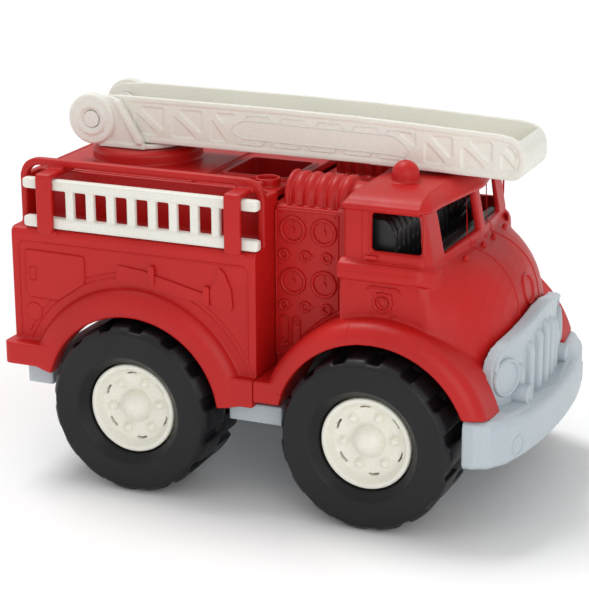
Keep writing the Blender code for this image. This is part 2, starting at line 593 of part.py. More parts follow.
def build_side_ladder(name, side):
    def rail(z0, z1):
        return prism(rounded_rect(*RAIL_X, z0, z1, (2, 2, 2, 2), 3), "y", *span(side, *RAIL_Y))

    base = rail(*LOW_RAIL_Z)
    steps = [("UNION", rail(*HIGH_RAIL_Z))]
    first, last = RUNG_X
    for k in range(RUNG_COUNT):
        x = first + (last - first) * k / (RUNG_COUNT - 1)
        rung_y = span(side, RAIL_Y[0] + 0.6, RAIL_Y[1] - 0.6)
        steps.append(("UNION", box(x - RUNG_HALF, x + RUNG_HALF, *rung_y, 129.0, 150.0)))
    return combine(name, base, "ivory", steps, smooth=30)


def main():
    clear_scene()
    build_rear_body()
    build_deck()
    build_front_body()
    build_chassis()
    build_bumper()
    build_interior()
    build_steering_wheel()
    for place, x in (("rear", REAR_X), ("front", FRONT_X)):
        build_axle(place + "_axle", x)
        for label, side in (("right", -1), ("left", 1)):
            build_tyre(f"{place}_{label}_tyre", x, side)
            build_hub(f"{place}_{label}_hubcap", x, side)
    build_turntable()
    build_retainer()
    build_boom()
    build_pivot_pin("pivot_pin_right", -1)
    build_pivot_pin("pivot_pin_left", 1)
    build_side_ladder("side_ladder_right", -1)
    build_side_ladder("side_ladder_left", 1)


main()
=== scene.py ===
"""Toy fire engine, visual model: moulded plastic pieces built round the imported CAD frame.

Lengths below are millimetres; they become metres when a mesh is made.
+X is forward, +Y is the truck's left side, +Z is up, the ground is z = 0.
"""

import math

import bmesh
import bpy
from mathutils import Matrix, Vector
from mathutils.bvhtree import BVHTree


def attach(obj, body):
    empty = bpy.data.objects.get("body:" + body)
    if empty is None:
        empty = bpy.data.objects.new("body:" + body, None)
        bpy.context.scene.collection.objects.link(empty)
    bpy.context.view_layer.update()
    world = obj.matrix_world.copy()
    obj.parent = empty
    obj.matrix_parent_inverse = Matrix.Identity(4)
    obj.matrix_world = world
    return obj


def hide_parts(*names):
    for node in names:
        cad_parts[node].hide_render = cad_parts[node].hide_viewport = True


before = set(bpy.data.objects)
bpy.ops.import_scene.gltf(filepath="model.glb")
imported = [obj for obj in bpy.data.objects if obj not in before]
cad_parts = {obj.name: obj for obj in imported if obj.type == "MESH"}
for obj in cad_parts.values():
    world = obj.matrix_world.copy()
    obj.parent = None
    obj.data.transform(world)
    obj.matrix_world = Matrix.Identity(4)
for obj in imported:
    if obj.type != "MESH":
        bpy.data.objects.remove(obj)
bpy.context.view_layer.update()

MM = 0.001
BODY = "truck_body"

# wheels
WHEEL_R = 42.4
TYRE_IN, TYRE_OUT = 40.0, 82.0
REAR_X, FRONT_X = -61.8, 60.0
LUGS = 15
BOLT_CIRCLE = 12.9

# rear body
REAR_END, REAR_FRONT = -129.5, 2.0
SIDE_Y, HOOP_Y, RECESS_Y, DECK_EDGE_Y = 71.0, 60.0, 46.0, 43.6
SILL_Z, LEDGE_Z, DECK_Z, HOOP_Z = 57.0, 126.0, 150.0, 158.5
WALL = 2.5
ARCH_R, FLARE_R, FLARE_Y = 46.0, 59.4, 78.0

# front body
PUMP_Y, PUMP_TOP = 48.0, 144.0
CAB_BACK, CAB_Y, CAB_LOW_Y = 41.5, 60.0, 64.0
ROOF_Z = 157.5
FRONT_ARCH_X, FRONT_ARCH_R, FRONT_FLARE_R = 61.5, 47.5, 57.8
RAKE, RAKE_X, RAKE_BLEND, RAKE_Z, LIP_Z, VISOR = 0.2, 77.0, 8.0, 127.0, 150.0, 2.6
REEL_Y, REEL_Z = 33.0, 146.0
BEACON_X, BEACON_Y, BEACON_R = 61.3, 31.0, 6.6
BADGE_X, BADGE_Z = 62.8, 107.6
RING_R, FAN_STEPS = 6.6, 36

# grille and bumper
BUMPER_FRONT, GRILLE_FOOT = 132.5, 54.0
LAMP_X, LAMP_Y, LAMP_Z, LAMP_TURN = 115.0, 42.6, 71.8, 22.0
SIDE_LAMP_Y, SIDE_LAMP_Z = 32.4, 60.6
FOG_Y, FOG_Z, FOG_R = 55.0, 44.0, 4.5

# side ladders and seats
RAIL_IN, RAIL_OUT, RUNGS = 65.6, 70.2, 8
SEAT_RIBS = 7

# aerial ladder
TABLE_X, TABLE_R, TABLE_Z0, TABLE_Z1 = -89.6, 21.3, 157.3, 159.8
PEDESTAL_R = 28.0
PIVOT_X, PIVOT_Z = -109.5, 171.2
BOOM_Y, BOOM_Z0, BOOM_Z1, BOOM_TIP = 17.8, 160.4, 183.4, 115.0
BOOM_DROP = 158.6
BOSS_R, EAR_IN, EAR_OUT, BOSS_OUT = 12.8, 18.1, 21.0, 23.2
PIN_R = 4.2


# ------------------------------------------------------------------ meshes

def new_object(name, bm, scale=MM):
    bmesh.ops.scale(bm, vec=(scale, scale, scale), verts=bm.verts)
    bmesh.ops.recalc_face_normals(bm, faces=bm.faces)
    mesh = bpy.data.meshes.new(name)
    bm.to_mesh(mesh)
    bm.free()
    obj = bpy.data.objects.new(name, mesh)
    bpy.context.scene.collection.objects.link(obj)
    return obj


def place(axis, a, b, depth):
    return {"x": (depth, a, b), "y": (a, depth, b), "z": (a, b, depth)}[axis]


def prism(outline, axis, low, high):
    """Closed outline extruded along an axis: (x, z) for y, (x, y) for z, (y, z) for x."""
    bm = bmesh.new()
    bottom = [bm.verts.new(place(axis, a, b, low)) for a, b in outline]
    top = [bm.verts.new(place(axis, a, b, high)) for a, b in outline]
    bm.faces.new(bottom)
    bm.faces.new(list(reversed(top)))
    for i in range(len(outline)):
        j = (i + 1) % len(outline)
        bm.faces.new((bottom[j], bottom[i], top[i], top[j]))
    return new_object("tmp", bm)


def box(x0, x1, y0, y1, z0, z1):
    return prism([(x0, z0), (x1, z0), (x1, z1), (x0, z1)], "y", y0, y1)


def circle(cx, cy, radius, count=64, start=0.0, end=360.0):
    full = abs(end - start - 360.0) < 1e-6
    points = []
    for i in range(count if full else count + 1):
        angle = math.radians(start + (end - start) * i / count)
        points.append((cx + radius * math.cos(angle), cy + radius * math.sin(angle)))
    return points


def cylinder(axis, centre, radius, low, high, count=64):
    return prism(circle(centre[0], centre[1], radius, count), axis, low, high)


def rounded(points, radii, count=6):
    """Polygon with rounded corners; radii is one number or one per corner."""
    out = []
    size = len(points)
    for i, corner in enumerate(points):
        radius = radii[i] if isinstance(radii, (list, tuple)) else radii
        here = Vector(corner)
        before = Vector(points[i - 1]) - here
        after = Vector(points[(i + 1) % size]) - here
        if radius <= 0:
            out.append(corner)
            continue
        half = before.angle(after) / 2
        reach = min(radius / math.tan(half), before.length * 0.49, after.length * 0.49)
        start, end = here + before.normalized() * reach, here + after.normalized() * reach
        for k in range(count + 1):
            t = k / count
            # a quadratic curve through the corner is close to the arc
            point = start.lerp(here, t).lerp(here.lerp(end, t), t)
            out.append((point.x, point.y))
    return out


def rounded_rect(a0, a1, b0, b1, radii, count=6):
    return rounded([(a0, b0), (a1, b0), (a1, b1), (a0, b1)], radii, count)


def revolve(profile, axis, centre, count=64, start=0.0, end=360.0):
    """Closed profile of (radius, position) swept round an axis."""
    full = abs(end - start - 360.0) < 1e-6
    steps = count if full else count + 1
    bm = bmesh.new()
    rings = []
    for i in range(steps):
        angle = math.radians(start + (end - start) * i / count)
        rings.append([bm.verts.new(place(axis, centre[0] + r * math.cos(angle),
                                         centre[1] + r * math.sin(angle), pos))
                      for r, pos in profile])
    size = len(profile)
    for i in range(steps if full else steps - 1):
        ring, after = rings[i], rings[(i + 1) % steps]
        for k in range(size):
            m = (k + 1) % size
            bm.faces.new((ring[k], ring[m], after[m], after[k]))
    if not full:
        bm.faces.new(rings[0])
        bm.faces.new(list(reversed(rings[-1])))
    bmesh.ops.remove_doubles(bm, verts=bm.verts, dist=1e-5)
    return new_object("tmp", bm)


def torus(axis, centre, major, minor, pos, count, around):
    profile = [(major + minor * math.cos(a), pos + minor * math.sin(a))
               for a in (2 * math.pi * i / around for i in range(around))]
    return revolve(profile, axis, centre, count)


def loft(sections, close_ends=True):
    """Solid skinned over rings of equally many points."""
    bm = bmesh.new()
    rings = [[bm.verts.new(p) for p in ring] for ring in sections]
    size = len(rings[0])
    for low, high in zip(rings, rings[1:]):
        for i in range(size):
            j = (i + 1) % size
            bm.faces.new((low[i], low[j], high[j], high[i]))
    if close_ends:
        bm.faces.new(list(reversed(rings[0])))
        bm.faces.new(rings[-1])
    bmesh.ops.remove_doubles(bm, verts=bm.verts, dist=1e-5)
    return new_object("tmp", bm)


def span(side, a, b):
    return (a, b) if side > 0 else (-b, -a)


def apply_modifiers(obj):
    bpy.context.view_layer.update()
    evaluated = obj.evaluated_get(bpy.context.evaluated_depsgraph_get())
    mesh = bpy.data.meshes.new_from_object(evaluated)
    obj.modifiers.clear()
    obj.data = mesh
    return obj


class Steps(list):
    """Boolean steps in working order."""

    def plus(self, tool):
        self.append(("+", tool))

    def cut(self, tool):
        self.append(("-", tool))

    def rest(self, tool):
        self.append(("*", tool))


def combine(base, steps):
    """Boolean steps in turn: + joins, - cuts, & keeps what both share, * is added as it is."""
    kinds = {"+": "UNION", "-": "DIFFERENCE", "&": "INTERSECT"}
    loose = [tool for sign, tool in steps if sign == "*"]
    for sign, tool in steps:
        if sign == "*":
            continue
        modifier = base.modifiers.new("bool", "BOOLEAN")
        modifier.operation = kinds[sign]
        modifier.solver = "EXACT"
        modifier.object = tool
        apply_modifiers(base)
        bpy.data.objects.remove(tool, do_unlink=True)
    if loose:
        merged = join([bpy.data.objects.new("tmp", base.data)] + loose)
        base.data = merged.data
        bpy.data.objects.remove(merged, do_unlink=True)
    return base


def join(objects):
    """One object holding several meshes as they are."""
    bm = bmesh.new()
    for obj in objects:
        obj.data.transform(obj.matrix_basis)
        bm.from_mesh(obj.data)
        bpy.data.objects.remove(obj, do_unlink=True)
    return new_object("tmp", bm, 1.0)


def mould(obj, voxel=0.6, rounds=3, target=180000):
    """Turns hard-edged solids into one soft-edged moulding."""
    remesh = obj.modifiers.new("mould", "REMESH")
    remesh.mode = "VOXEL"
    remesh.voxel_size = voxel * MM
    if rounds:
        smooth = obj.modifiers.new("soften", "SMOOTH")
        smooth.factor = 0.5
        smooth.iterations = rounds
    apply_modifiers(obj)
    faces = len(obj.data.polygons) * 2
    if faces > target:
        thin = obj.modifiers.new("thin", "DECIMATE")
        thin.ratio = target / faces
        apply_modifiers(obj)
    return obj


def shade_smooth(obj, angle=None):
    for face in obj.data.polygons:
        face.use_smooth = True
    if angle is not None:
        obj.data.set_sharp_from_angle(angle=math.radians(angle))


def bevel(obj, width, segments, angle):
    modifier = obj.modifiers.new("bevel", "BEVEL")
    modifier.width = width * MM
    modifier.segments = segments
    modifier.limit_method = "ANGLE"
    modifier.angle_limit = math.radians(angle)
    return apply_modifiers(obj)


def finish_piece(obj, name, body, mat, replaces=(), angle=None):
    obj.name = name
    obj.data.name = name
    obj.data.materials.clear()
    obj.data.materials.append(mat)
    shade_smooth(obj, angle)
    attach(obj, body)
    if replaces:
        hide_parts(*replaces)
    return obj


# ------------------------------------------------------------------ raised lines

def ridge(points, plane, base, width=0.9, height=0.55, closed=True):
    """Raised moulded line that follows a path on a flat face.

    plane is the axis the line stands up along, base its start, signed towards outside.
    """
    axis, direction = plane[0], 1.0 if plane[1] == "+" else -1.0
    path = [Vector(p) for p in points]
    size = len(path)
    sunk = 0.5
    profile = [(-0.5, -sunk), (-0.5, 0.0), (-0.3, 0.75), (0.0, 1.0), (0.3, 0.75), (0.5, 0.0), (0.5, -sunk)]
    rings = []
    for i, here in enumerate(path):
        before = path[i - 1] if closed or i > 0 else here
        after = path[(i + 1) % size] if closed or i < size - 1 else here
        d1 = (here - before).normalized() if (here - before).length > 1e-9 else None
        d2 = (after - here).normalized() if (after - here).length > 1e-9 else None
        d1, d2 = d1 or d2, d2 or d1
        n1, n2 = Vector((-d1.y, d1.x)), Vector((-d2.y, d2.x))
        normal = (n1 + n2).normalized()
        normal = normal / max(normal.dot(n1), 0.5)
        ring = []
        for across, up in profile:
            flat = here + normal * (across * width)
            lift = base + direction * (up * height if up > 0 else up)
            ring.append(place(axis, flat.x, flat.y, lift))
        rings.append(ring)
    if closed:
        rings.append(rings[0])
        return loft(rings, close_ends=False)
    return loft(rings)


def raised(outline, plane, base, height):
    """Flat raised patch with a sunk foot."""
    axis, direction = plane[0], 1.0 if plane[1] == "+" else -1.0
    low, high = sorted((base - direction * 0.5, base + direction * height))
    return prism(outline, axis, low, high)


def surface_tree(shell):
    """Search tree of a finished moulding, in millimetres."""
    return BVHTree.FromPolygons([v.co / MM for v in shell.data.vertices],
                                [p.vertices[:] for p in shell.data.polygons])


def surface_point(tree, start, direction):
    hit, normal, _, _ = tree.ray_cast(Vector(start), Vector(direction))
    return hit, normal


def surface_ridge(tree, starts, direction, width=0.8, height=0.4):
    """Raised line that follows the moulded surface below a run of start points."""
    return fan_ridge(tree, [(start, direction) for start in starts], width, height, 7.0)


def surface_pin(tree, start, direction, radius, height):
    """Small round stud standing on the moulded surface."""
    point, normal = surface_point(tree, start, direction)
    side_axis = normal.orthogonal().normalized()
    other = normal.cross(side_axis)
    rings = []
    for lift, scale in ((-1.0, 1.0), (height * 0.7, 1.0), (height * 0.92, 0.8), (height, 0.45)):
        ring = []
        for k in range(16):
            angle = 2 * math.pi * k / 16
            ring.append(point + normal * lift + (side_axis * math.cos(angle) + other * math.sin(angle))
                        * (radius * scale))
        rings.append(ring)
    return loft(rings)


def fan_ridge(tree, rays, width, height, spread=80.0):
    """Raised line where a fan of rays meets the moulded surface."""
    hits = [surface_point(tree, start, inward) for start, inward in rays]
    hits = [(point, normal) for point, normal in hits if point is not None]
    reach = [(point - Vector(ray[0])).length for (point, _), ray in zip(hits, rays)]
    hits = [hit for hit, far in zip(hits, reach) if far < min(reach) + spread]
    profile = [(-0.5, -0.6), (-0.5, 0.0), (-0.28, 0.8), (0.0, 1.0), (0.28, 0.8), (0.5, 0.0), (0.5, -0.6)]
    rings = []
    for i, (point, normal) in enumerate(hits):
        along = hits[min(i + 1, len(hits) - 1)][0] - hits[max(i - 1, 0)][0]
        across = along.cross(normal).normalized()
        rings.append([point + across * (a * width) + normal * (b * height if b > 0 else b)
                      for a, b in profile])
    return loft(rings)


# ------------------------------------------------------------------ materials

def node(tree, kind, **inputs):
    made = tree.nodes.new(kind)
    for name, value in inputs.items():
        made.inputs[name.replace("_", " ")].default_value = value
    return made


def plastic(name, colour, dark, roughness, grain, subsurface=0.0, specular=0.5):
    """Satin moulded plastic: faint colour clouds, fine grain, small scuffs."""
    mat = bpy.data.materials.new(name)
    mat.use_nodes = True
    tree = mat.node_tree
    shader = tree.nodes["Principled BSDF"]
    shader.inputs["Specular IOR Level"].default_value = specular
    if subsurface:
        shader.inputs["Subsurface Weight"].default_value = subsurface
        shader.inputs["Subsurface Scale"].default_value = 0.004
        shader.inputs["Subsurface Radius"].default_value = (1.0, 0.8, 0.5)
    coords = tree.nodes.new("ShaderNodeTexCoord")
    link = tree.links.new

    def noise(size, detail, rough=0.5):
        made = node(tree, "ShaderNodeTexNoise", Scale=size, Detail=detail, Roughness=rough)
        link(coords.outputs["Object"], made.inputs["Vector"])
        return made

    clouds = noise(22.0, 3.0)
    mix = tree.nodes.new("ShaderNodeMix")
    mix.data_type = "RGBA"
    ramp = node(tree, "ShaderNodeMapRange", From_Min=0.35, From_Max=0.7, To_Min=0.0, To_Max=1.0)
    link(clouds.outputs["Fac"], ramp.inputs["Value"])
    link(ramp.outputs["Result"], mix.inputs["Factor"])
    mix.inputs["A"].default_value = (*colour, 1.0)
    mix.inputs["B"].default_value = (*dark, 1.0)
    specks = noise(900.0, 2.0)
    speck_mix = tree.nodes.new("ShaderNodeMix")
    speck_mix.data_type = "RGBA"
    speck_mix.blend_type = "MULTIPLY"
    speck_range = node(tree, "ShaderNodeMapRange", From_Min=0.3, From_Max=0.7, To_Min=0.96, To_Max=1.03)
    link(specks.outputs["Fac"], speck_range.inputs["Value"])
    speck_mix.inputs["Factor"].default_value = 1.0
    link(mix.outputs["Result"], speck_mix.inputs["A"])
    link(speck_range.outputs["Result"], speck_mix.inputs["B"])
    link(speck_mix.outputs["Result"], shader.inputs["Base Color"])
    wear = noise(60.0, 6.0, 0.7)
    rough_range = node(tree, "ShaderNodeMapRange", From_Min=0.3, From_Max=0.75,
                       To_Min=roughness - 0.06, To_Max=roughness + 0.10)
    link(wear.outputs["Fac"], rough_range.inputs["Value"])
    link(rough_range.outputs["Result"], shader.inputs["Roughness"])
    fine = noise(1400.0, 2.0, 0.6)
    bump = node(tree, "ShaderNodeBump", Strength=grain, Distance=0.0006)
    link(fine.outputs["Fac"], bump.inputs["Height"])
    wave = noise(70.0, 2.0)
    broad = node(tree, "ShaderNodeBump", Strength=grain * 1.2, Distance=0.002)
    link(wave.outputs["Fac"], broad.inputs["Height"])
    link(bump.outputs["Normal"], broad.inputs["Normal"])
    link(broad.outputs["Normal"], shader.inputs["Normal"])
    return mat


RED = plastic("red_plastic", (0.50, 0.0085, 0.007), (0.44, 0.006, 0.005), 0.42, 0.12, specular=0.34)
IVORY = plastic("ivory_plastic", (0.80, 0.79, 0.72), (0.76, 0.75, 0.68), 0.42, 0.08, subsurface=0.12)
HUB_IVORY = plastic("hub_plastic", (0.86, 0.84, 0.75), (0.82, 0.80, 0.71), 0.36, 0.06, subsurface=0.18)
GREY = plastic("grey_plastic", (0.47, 0.53, 0.565), (0.43, 0.49, 0.53), 0.42, 0.10)
TYRE = plastic("tyre_plastic", (0.0065, 0.0065, 0.0080), (0.010, 0.010, 0.012), 0.42, 0.12, specular=0.3)
BLACK = plastic("black_plastic", (0.008, 0.008, 0.009), (0.012, 0.012, 0.014), 0.34, 0.08, specular=0.4)


def quarter_bulge(arch_r, outer_r, inner_y, low_y, high_y, side, steps=9):
    """Profile of a rolled wheel-arch lip, (radius, y)."""
    points = [(arch_r, inner_y), (arch_r, high_y - 0.8), (arch_r + 0.8, high_y)]
    flat = arch_r + (outer_r - arch_r) * 0.2
    for i in range(steps + 1):
        angle = math.radians(90 * i / steps)
        radius = flat + (outer_r - flat) * math.sin(angle)
        points.append((radius, low_y + (high_y - low_y) * math.cos(angle)))
    points.append((outer_r, inner_y))
    return [(r, side * y) for r, y in points]


# ------------------------------------------------------------------ rear body

def build_rear_body():
    half = rounded([(-SIDE_Y, SILL_Z), (SIDE_Y, SILL_Z), (SIDE_Y, LEDGE_Z), (-SIDE_Y, LEDGE_Z)],
                   (0, 0, 3.5, 3.5))
    low = prism(half, "x", REAR_END, REAR_FRONT)
    steps = Steps()
    hoop = rounded([(REAR_END, LEDGE_Z - 6), (REAR_FRONT, LEDGE_Z - 6), (REAR_FRONT, HOOP_Z),
                    (REAR_END, HOOP_Z)], (0, 0, 12, 12), 12)
    for side in (-1, 1):
        steps.plus(prism(hoop, "y", *span(side, RECESS_Y - 2.0, HOOP_Y)))
    steps.plus(box(REAR_END, REAR_END + WALL, -HOOP_Y, HOOP_Y, LEDGE_Z - 6, DECK_Z))
    steps.plus(box(REAR_FRONT - WALL, REAR_FRONT, -HOOP_Y, HOOP_Y, LEDGE_Z - 6, DECK_Z - 6))
    plan = rounded([(-132.5, -78.0), (-104.0, -78.0), (-104.0, 78.0), (-132.5, 78.0)], (4, 1, 1, 4))
    steps.plus(prism(plan, "z", SILL_Z, 68.3))
    for side in (-1, 1):
        profile = quarter_bulge(ARCH_R, FLARE_R, SIDE_Y - 1.5, SIDE_Y, FLARE_Y, side)
        steps.plus(revolve(profile, "y", (REAR_X, WHEEL_R), 72, 8.5, 165))
        steps.plus(box(-10.0, REAR_FRONT, *span(side, SIDE_Y - 3.5, 76.0), 51.0, 65.0))
    inner_x0, inner_x1 = REAR_END + WALL, REAR_FRONT - WALL
    steps.cut(box(inner_x0, inner_x1, -SIDE_Y + WALL, SIDE_Y - WALL, 40.0, LEDGE_Z - WALL))
    steps.cut(box(inner_x0, inner_x1, -DECK_EDGE_Y - 0.4, DECK_EDGE_Y + 0.4,
                  LEDGE_Z - 4.0, HOOP_Z + 5.0))
    recess = rounded([(REAR_END + 3.5, LEDGE_Z), (REAR_FRONT - 3.5, LEDGE_Z),
                      (REAR_FRONT - 3.5, HOOP_Z - 3.5), (REAR_END + 3.5, HOOP_Z - 3.5)], (0, 0, 9, 9), 10)
    for side in (-1, 1):
        steps.cut(prism(recess, "y", *span(side, RECESS_Y, 90.0)))
        steps.cut(cylinder("y", (REAR_X, WHEEL_R), ARCH_R, *span(side, 60.0, 90.0), 96))
        steps.cut(box(REAR_END - 1, REAR_FRONT + 1, *span(side, 30.0, HOOP_Y - 4.0),
                      DECK_Z, HOOP_Z + 5.0))
    for side in (-1, 1):
        for x0 in (-113.2, -13.0):
            strap = rounded([(side * 70.6, LEDGE_Z - 1), (side * 73.4, LEDGE_Z - 1), (side * 73.4, 154.2),
                             (side * (RECESS_Y - 1), 154.2), (side * (RECESS_Y - 1), 151.4),
                             (side * 70.6, 151.4)], (0, 0, 2.4, 0, 0, 0.6))
            steps.plus(prism(strap, "x", x0, x0 + 8.4))
            steps.plus(box(x0, x0 + 4.4, *span(side, 62.6, 65.2), LEDGE_Z - 1, 152.5))
        steps.plus(cylinder("y", (-20.0, 140.0), 2.2, *span(side, RECESS_Y - 1, RECESS_Y + 1.6), 24))
    mould(combine(low, steps), 0.62, 3)
    finish_piece(low, "rear_body_shell", BODY, RED, ["rear_body"])


def side_plane(side):
    return "y+" if side > 0 else "y-"


def build_rear_reliefs():
    parts = []
    for side in (-1, 1):
        plane, base = side_plane(side), side * SIDE_Y
        # line inside the panel edge and two lines over the wheel arch
        frame_line = rounded([(-2.2, 70.0), (-2.2, 119.0), (-125.6, 119.0), (-125.6, 71.0)], (0, 4, 4, 0))
        parts.append(ridge(frame_line, plane, base, 1.0, 0.5, closed=False))
        parts.append(ridge(circle(REAR_X, WHEEL_R, 64.2, 60, 12, 155), plane, base, 0.9, 0.45, closed=False))
        parts.append(ridge(circle(REAR_X, WHEEL_R, 66.6, 60, 20, 152), plane, base, 0.9, 0.45, closed=False))
        hatch = rounded([(-121.7, 91.0), (-104.0, 90.6), (-89.0, 101.0), (-89.0, 114.6), (-121.7, 115.0)],
                        (2.5, 2.5, 2, 2, 2))
        parts.append(raised(hatch, plane, base, 0.45))
        parts.append(ridge(hatch, plane, base, 0.9, 0.8))
        latch = rounded_rect(-119.4, -116.0, 99.6, 106.6, 0.5, 3)
        parts.append(ridge(latch, plane, base + side * 0.45, 0.7, 0.4))
        parts.append(ridge(circle(-118.0, 83.5, 4.4, 32), plane, base, 0.8, 0.5))
        parts.append(raised(circle(-118.0, 83.5, 4.2, 32), plane, base, 0.35))
        handle = rounded([(-71.0, 103.8), (-53.0, 103.0), (-24.0, 98.6), (-21.0, 101.2), (-22.0, 103.2),
                          (-50.0, 109.6), (-56.0, 111.2), (-71.0, 112.8)], (2, 1, 1, 1, 1, 1, 1, 2), 4)
        parts.append(raised(handle, plane, base, 0.9))
        blade = rounded([(-21.0, 99.5), (-11.0, 96.0), (-9.6, 98.5), (-10.2, 107.0), (-13.4, 114.6),
                         (-16.8, 118.0), (-17.6, 113.0), (-19.0, 110.0), (-21.4, 106.0)],
                        (1, 1, 1, 3, 2, 1, 1, 1, 1), 4)
        parts.append(raised(blade, plane, base, 0.9))
        for x, z0, z1 in ((-52.0, 104.4, 114.4), (-23.0, 97.8, 107.6)):
            parts.append(raised(rounded_rect(x - 1.6, x + 1.6, z0, z1, 1.5, 4), plane, base, 1.6))
    # back panel
    back = rounded_rect(-63.0, 63.0, 75.0, 118.0, 4)
    parts.append(ridge(back, "x-", REAR_END, 1.0, 0.6))
    for side in (-1, 1):
        door = rounded_rect(*sorted((side * 3.0, side * 57.0)), 80.0, 113.0, 3)
        parts.append(raised(door, "x-", REAR_END, 0.5))
        parts.append(ridge(rounded_rect(*sorted((side * 7.0, side * 11.0)), 91.0, 102.0, 1.5), "x-",
                           REAR_END - 0.5, 0.8, 0.7))
    relief = join(parts)
    finish_piece(relief, "rear_body_relief", BODY, RED, angle=50)


# ------------------------------------------------------------------ deck

def build_deck():
    edge = REAR_END + WALL + 0.3
    plate = box(edge, -44.0, -DECK_EDGE_Y, DECK_EDGE_Y, DECK_Z - 5.0, DECK_Z)
    steps = Steps()
    front_end = REAR_FRONT - WALL - 0.3
    steps.plus(box(-45.0, front_end, -DECK_EDGE_Y, DECK_EDGE_Y, DECK_Z - 5.0, DECK_Z - 1.4))
    pedestal = [(0, DECK_Z - 1), (PEDESTAL_R, DECK_Z - 1), (PEDESTAL_R, 154.8), (PEDESTAL_R - 0.3, 155.5),
                (PEDESTAL_R - 1.5, 156.7), (PEDESTAL_R - 2.2, 157.0), (0, 157.0)]
    steps.plus(revolve(pedestal, "z", (TABLE_X, 0.0), 96))
    steps.plus(box(-40.5, -2.5, -19.5, 19.5, 127.5, DECK_Z - 1.5))
    steps.plus(prism(rounded_rect(-40.3, -2.7, -19.3, 19.3, 3), "z", DECK_Z - 2.0, DECK_Z - 0.5))
    steps.cut(prism(rounded_rect(-38.0, -5.0, -17.0, 17.0, 2.5), "z", 130.0, 170.0))
    steps.plus(cylinder("z", (-9.0, -31.0), 6.2, DECK_Z - 3, DECK_Z + 2.8, 48))
    steps.cut(cylinder("z", (-9.0, -31.0), 4.8, DECK_Z - 0.6, DECK_Z + 9, 40))
    steps.cut(cylinder("z", (TABLE_X, 0.0), 7.4, DECK_Z - 20, DECK_Z + 20, 48))
    mould(combine(plate, steps), 0.5, 2, 90000)
    finish_piece(plate, "deck_plate", BODY, RED, ["deck"])


# ------------------------------------------------------------------ front body

def nose_section(x, half, top, power):
    """Bonnet cross-section at one x: flat sides and an arched, crowned top."""
    foot = 65.0
    right = []
    for i in range(25):
        angle = math.radians(90 * i / 24)
        y = half * math.cos(angle) ** (2.0 / power)
        right.append((y, foot + (top - foot) * math.sin(angle) ** (2.0 / power)))
    left = [(-y, z) for y, z in reversed(right[:-1])]
    ring = [(half, SILL_Z)] + right + left + [(-half, SILL_Z)]
    return [(x, y, z) for y, z in ring]


def bonnet_solid():
    """Bonnet and lower cab lofted from the cab's back to the nose."""
    table = ((CAB_BACK, 64.0, 125.0, 14.0), (70.0, 64.0, 125.0, 12.0), (80.0, 64.0, 125.0, 8.0),
             (84.0, 64.0, 124.9, 6.0), (88.0, 63.3, 124.5, 4.1), (92.0, 61.6, 123.8, 3.4),
             (96.0, 59.3, 122.4, 3.1), (100.0, 56.0, 120.4, 2.85), (104.0, 51.7, 117.7, 2.65),
             (107.5, 46.6, 114.4, 2.5), (110.4, 40.6, 110.2, 2.4), (112.6, 34.0, 105.0, 2.3),
             (114.0, 27.0, 99.0, 2.2), (114.8, 18.0, 91.0, 2.05))
    return loft([nose_section(*row) for row in table])


def cab_plan(grow=0.0, count=4):
    """Plan outline of the upper cab, (x, y)."""
    half = CAB_Y + grow
    right = [(CAB_BACK - grow, -half), (80.5, -half), (84.0 + grow, -half + 5.0), (85.2 + grow, -40.0)]
    corners = right + [(91.0 + grow, 0.0)] + [(x, -y) for x, y in reversed(right)]
    return rounded(corners, (2.5, 4, 4, 12, 30, 12, 4, 4, 2.5), count)


def roof_solid():
    levels = [(149.4, 0.0, 1.0), (149.9, 1.0, 1.0), (150.4, 1.2, 1.0), (151.4, 1.2, 1.0), (151.9, 0.9, 1.0)]
    for i in range(1, 9):
        angle = math.radians(90 * i / 8)
        levels.append((152.0 + (ROOF_Z - 152.0) * math.sin(angle), 0.3, 0.99 - 0.36 * (1 - math.cos(angle))))
    centre_x = 66.0
    rings = []
    for z, grow, scale in levels:
        plan = [(x + (VISOR if x > centre_x else 0.0), y) for x, y in cab_plan(grow)]
        rings.append([(centre_x + (x - centre_x) * scale, y * scale, z) for x, y in plan])
    return loft(rings)


def rake_windscreen(body):
    """Lean the cab's front wall and pillars back, from the belt up to the roof."""
    for vert in body.data.vertices:
        x, z = vert.co.x / MM, vert.co.z / MM
        share = min(max((x - RAKE_X) / RAKE_BLEND, 0.0), 1.0)
        share = share * share * (3.0 - 2.0 * share)
        vert.co.x -= RAKE * share * min(max(z - RAKE_Z, 0.0), LIP_Z - RAKE_Z) * MM


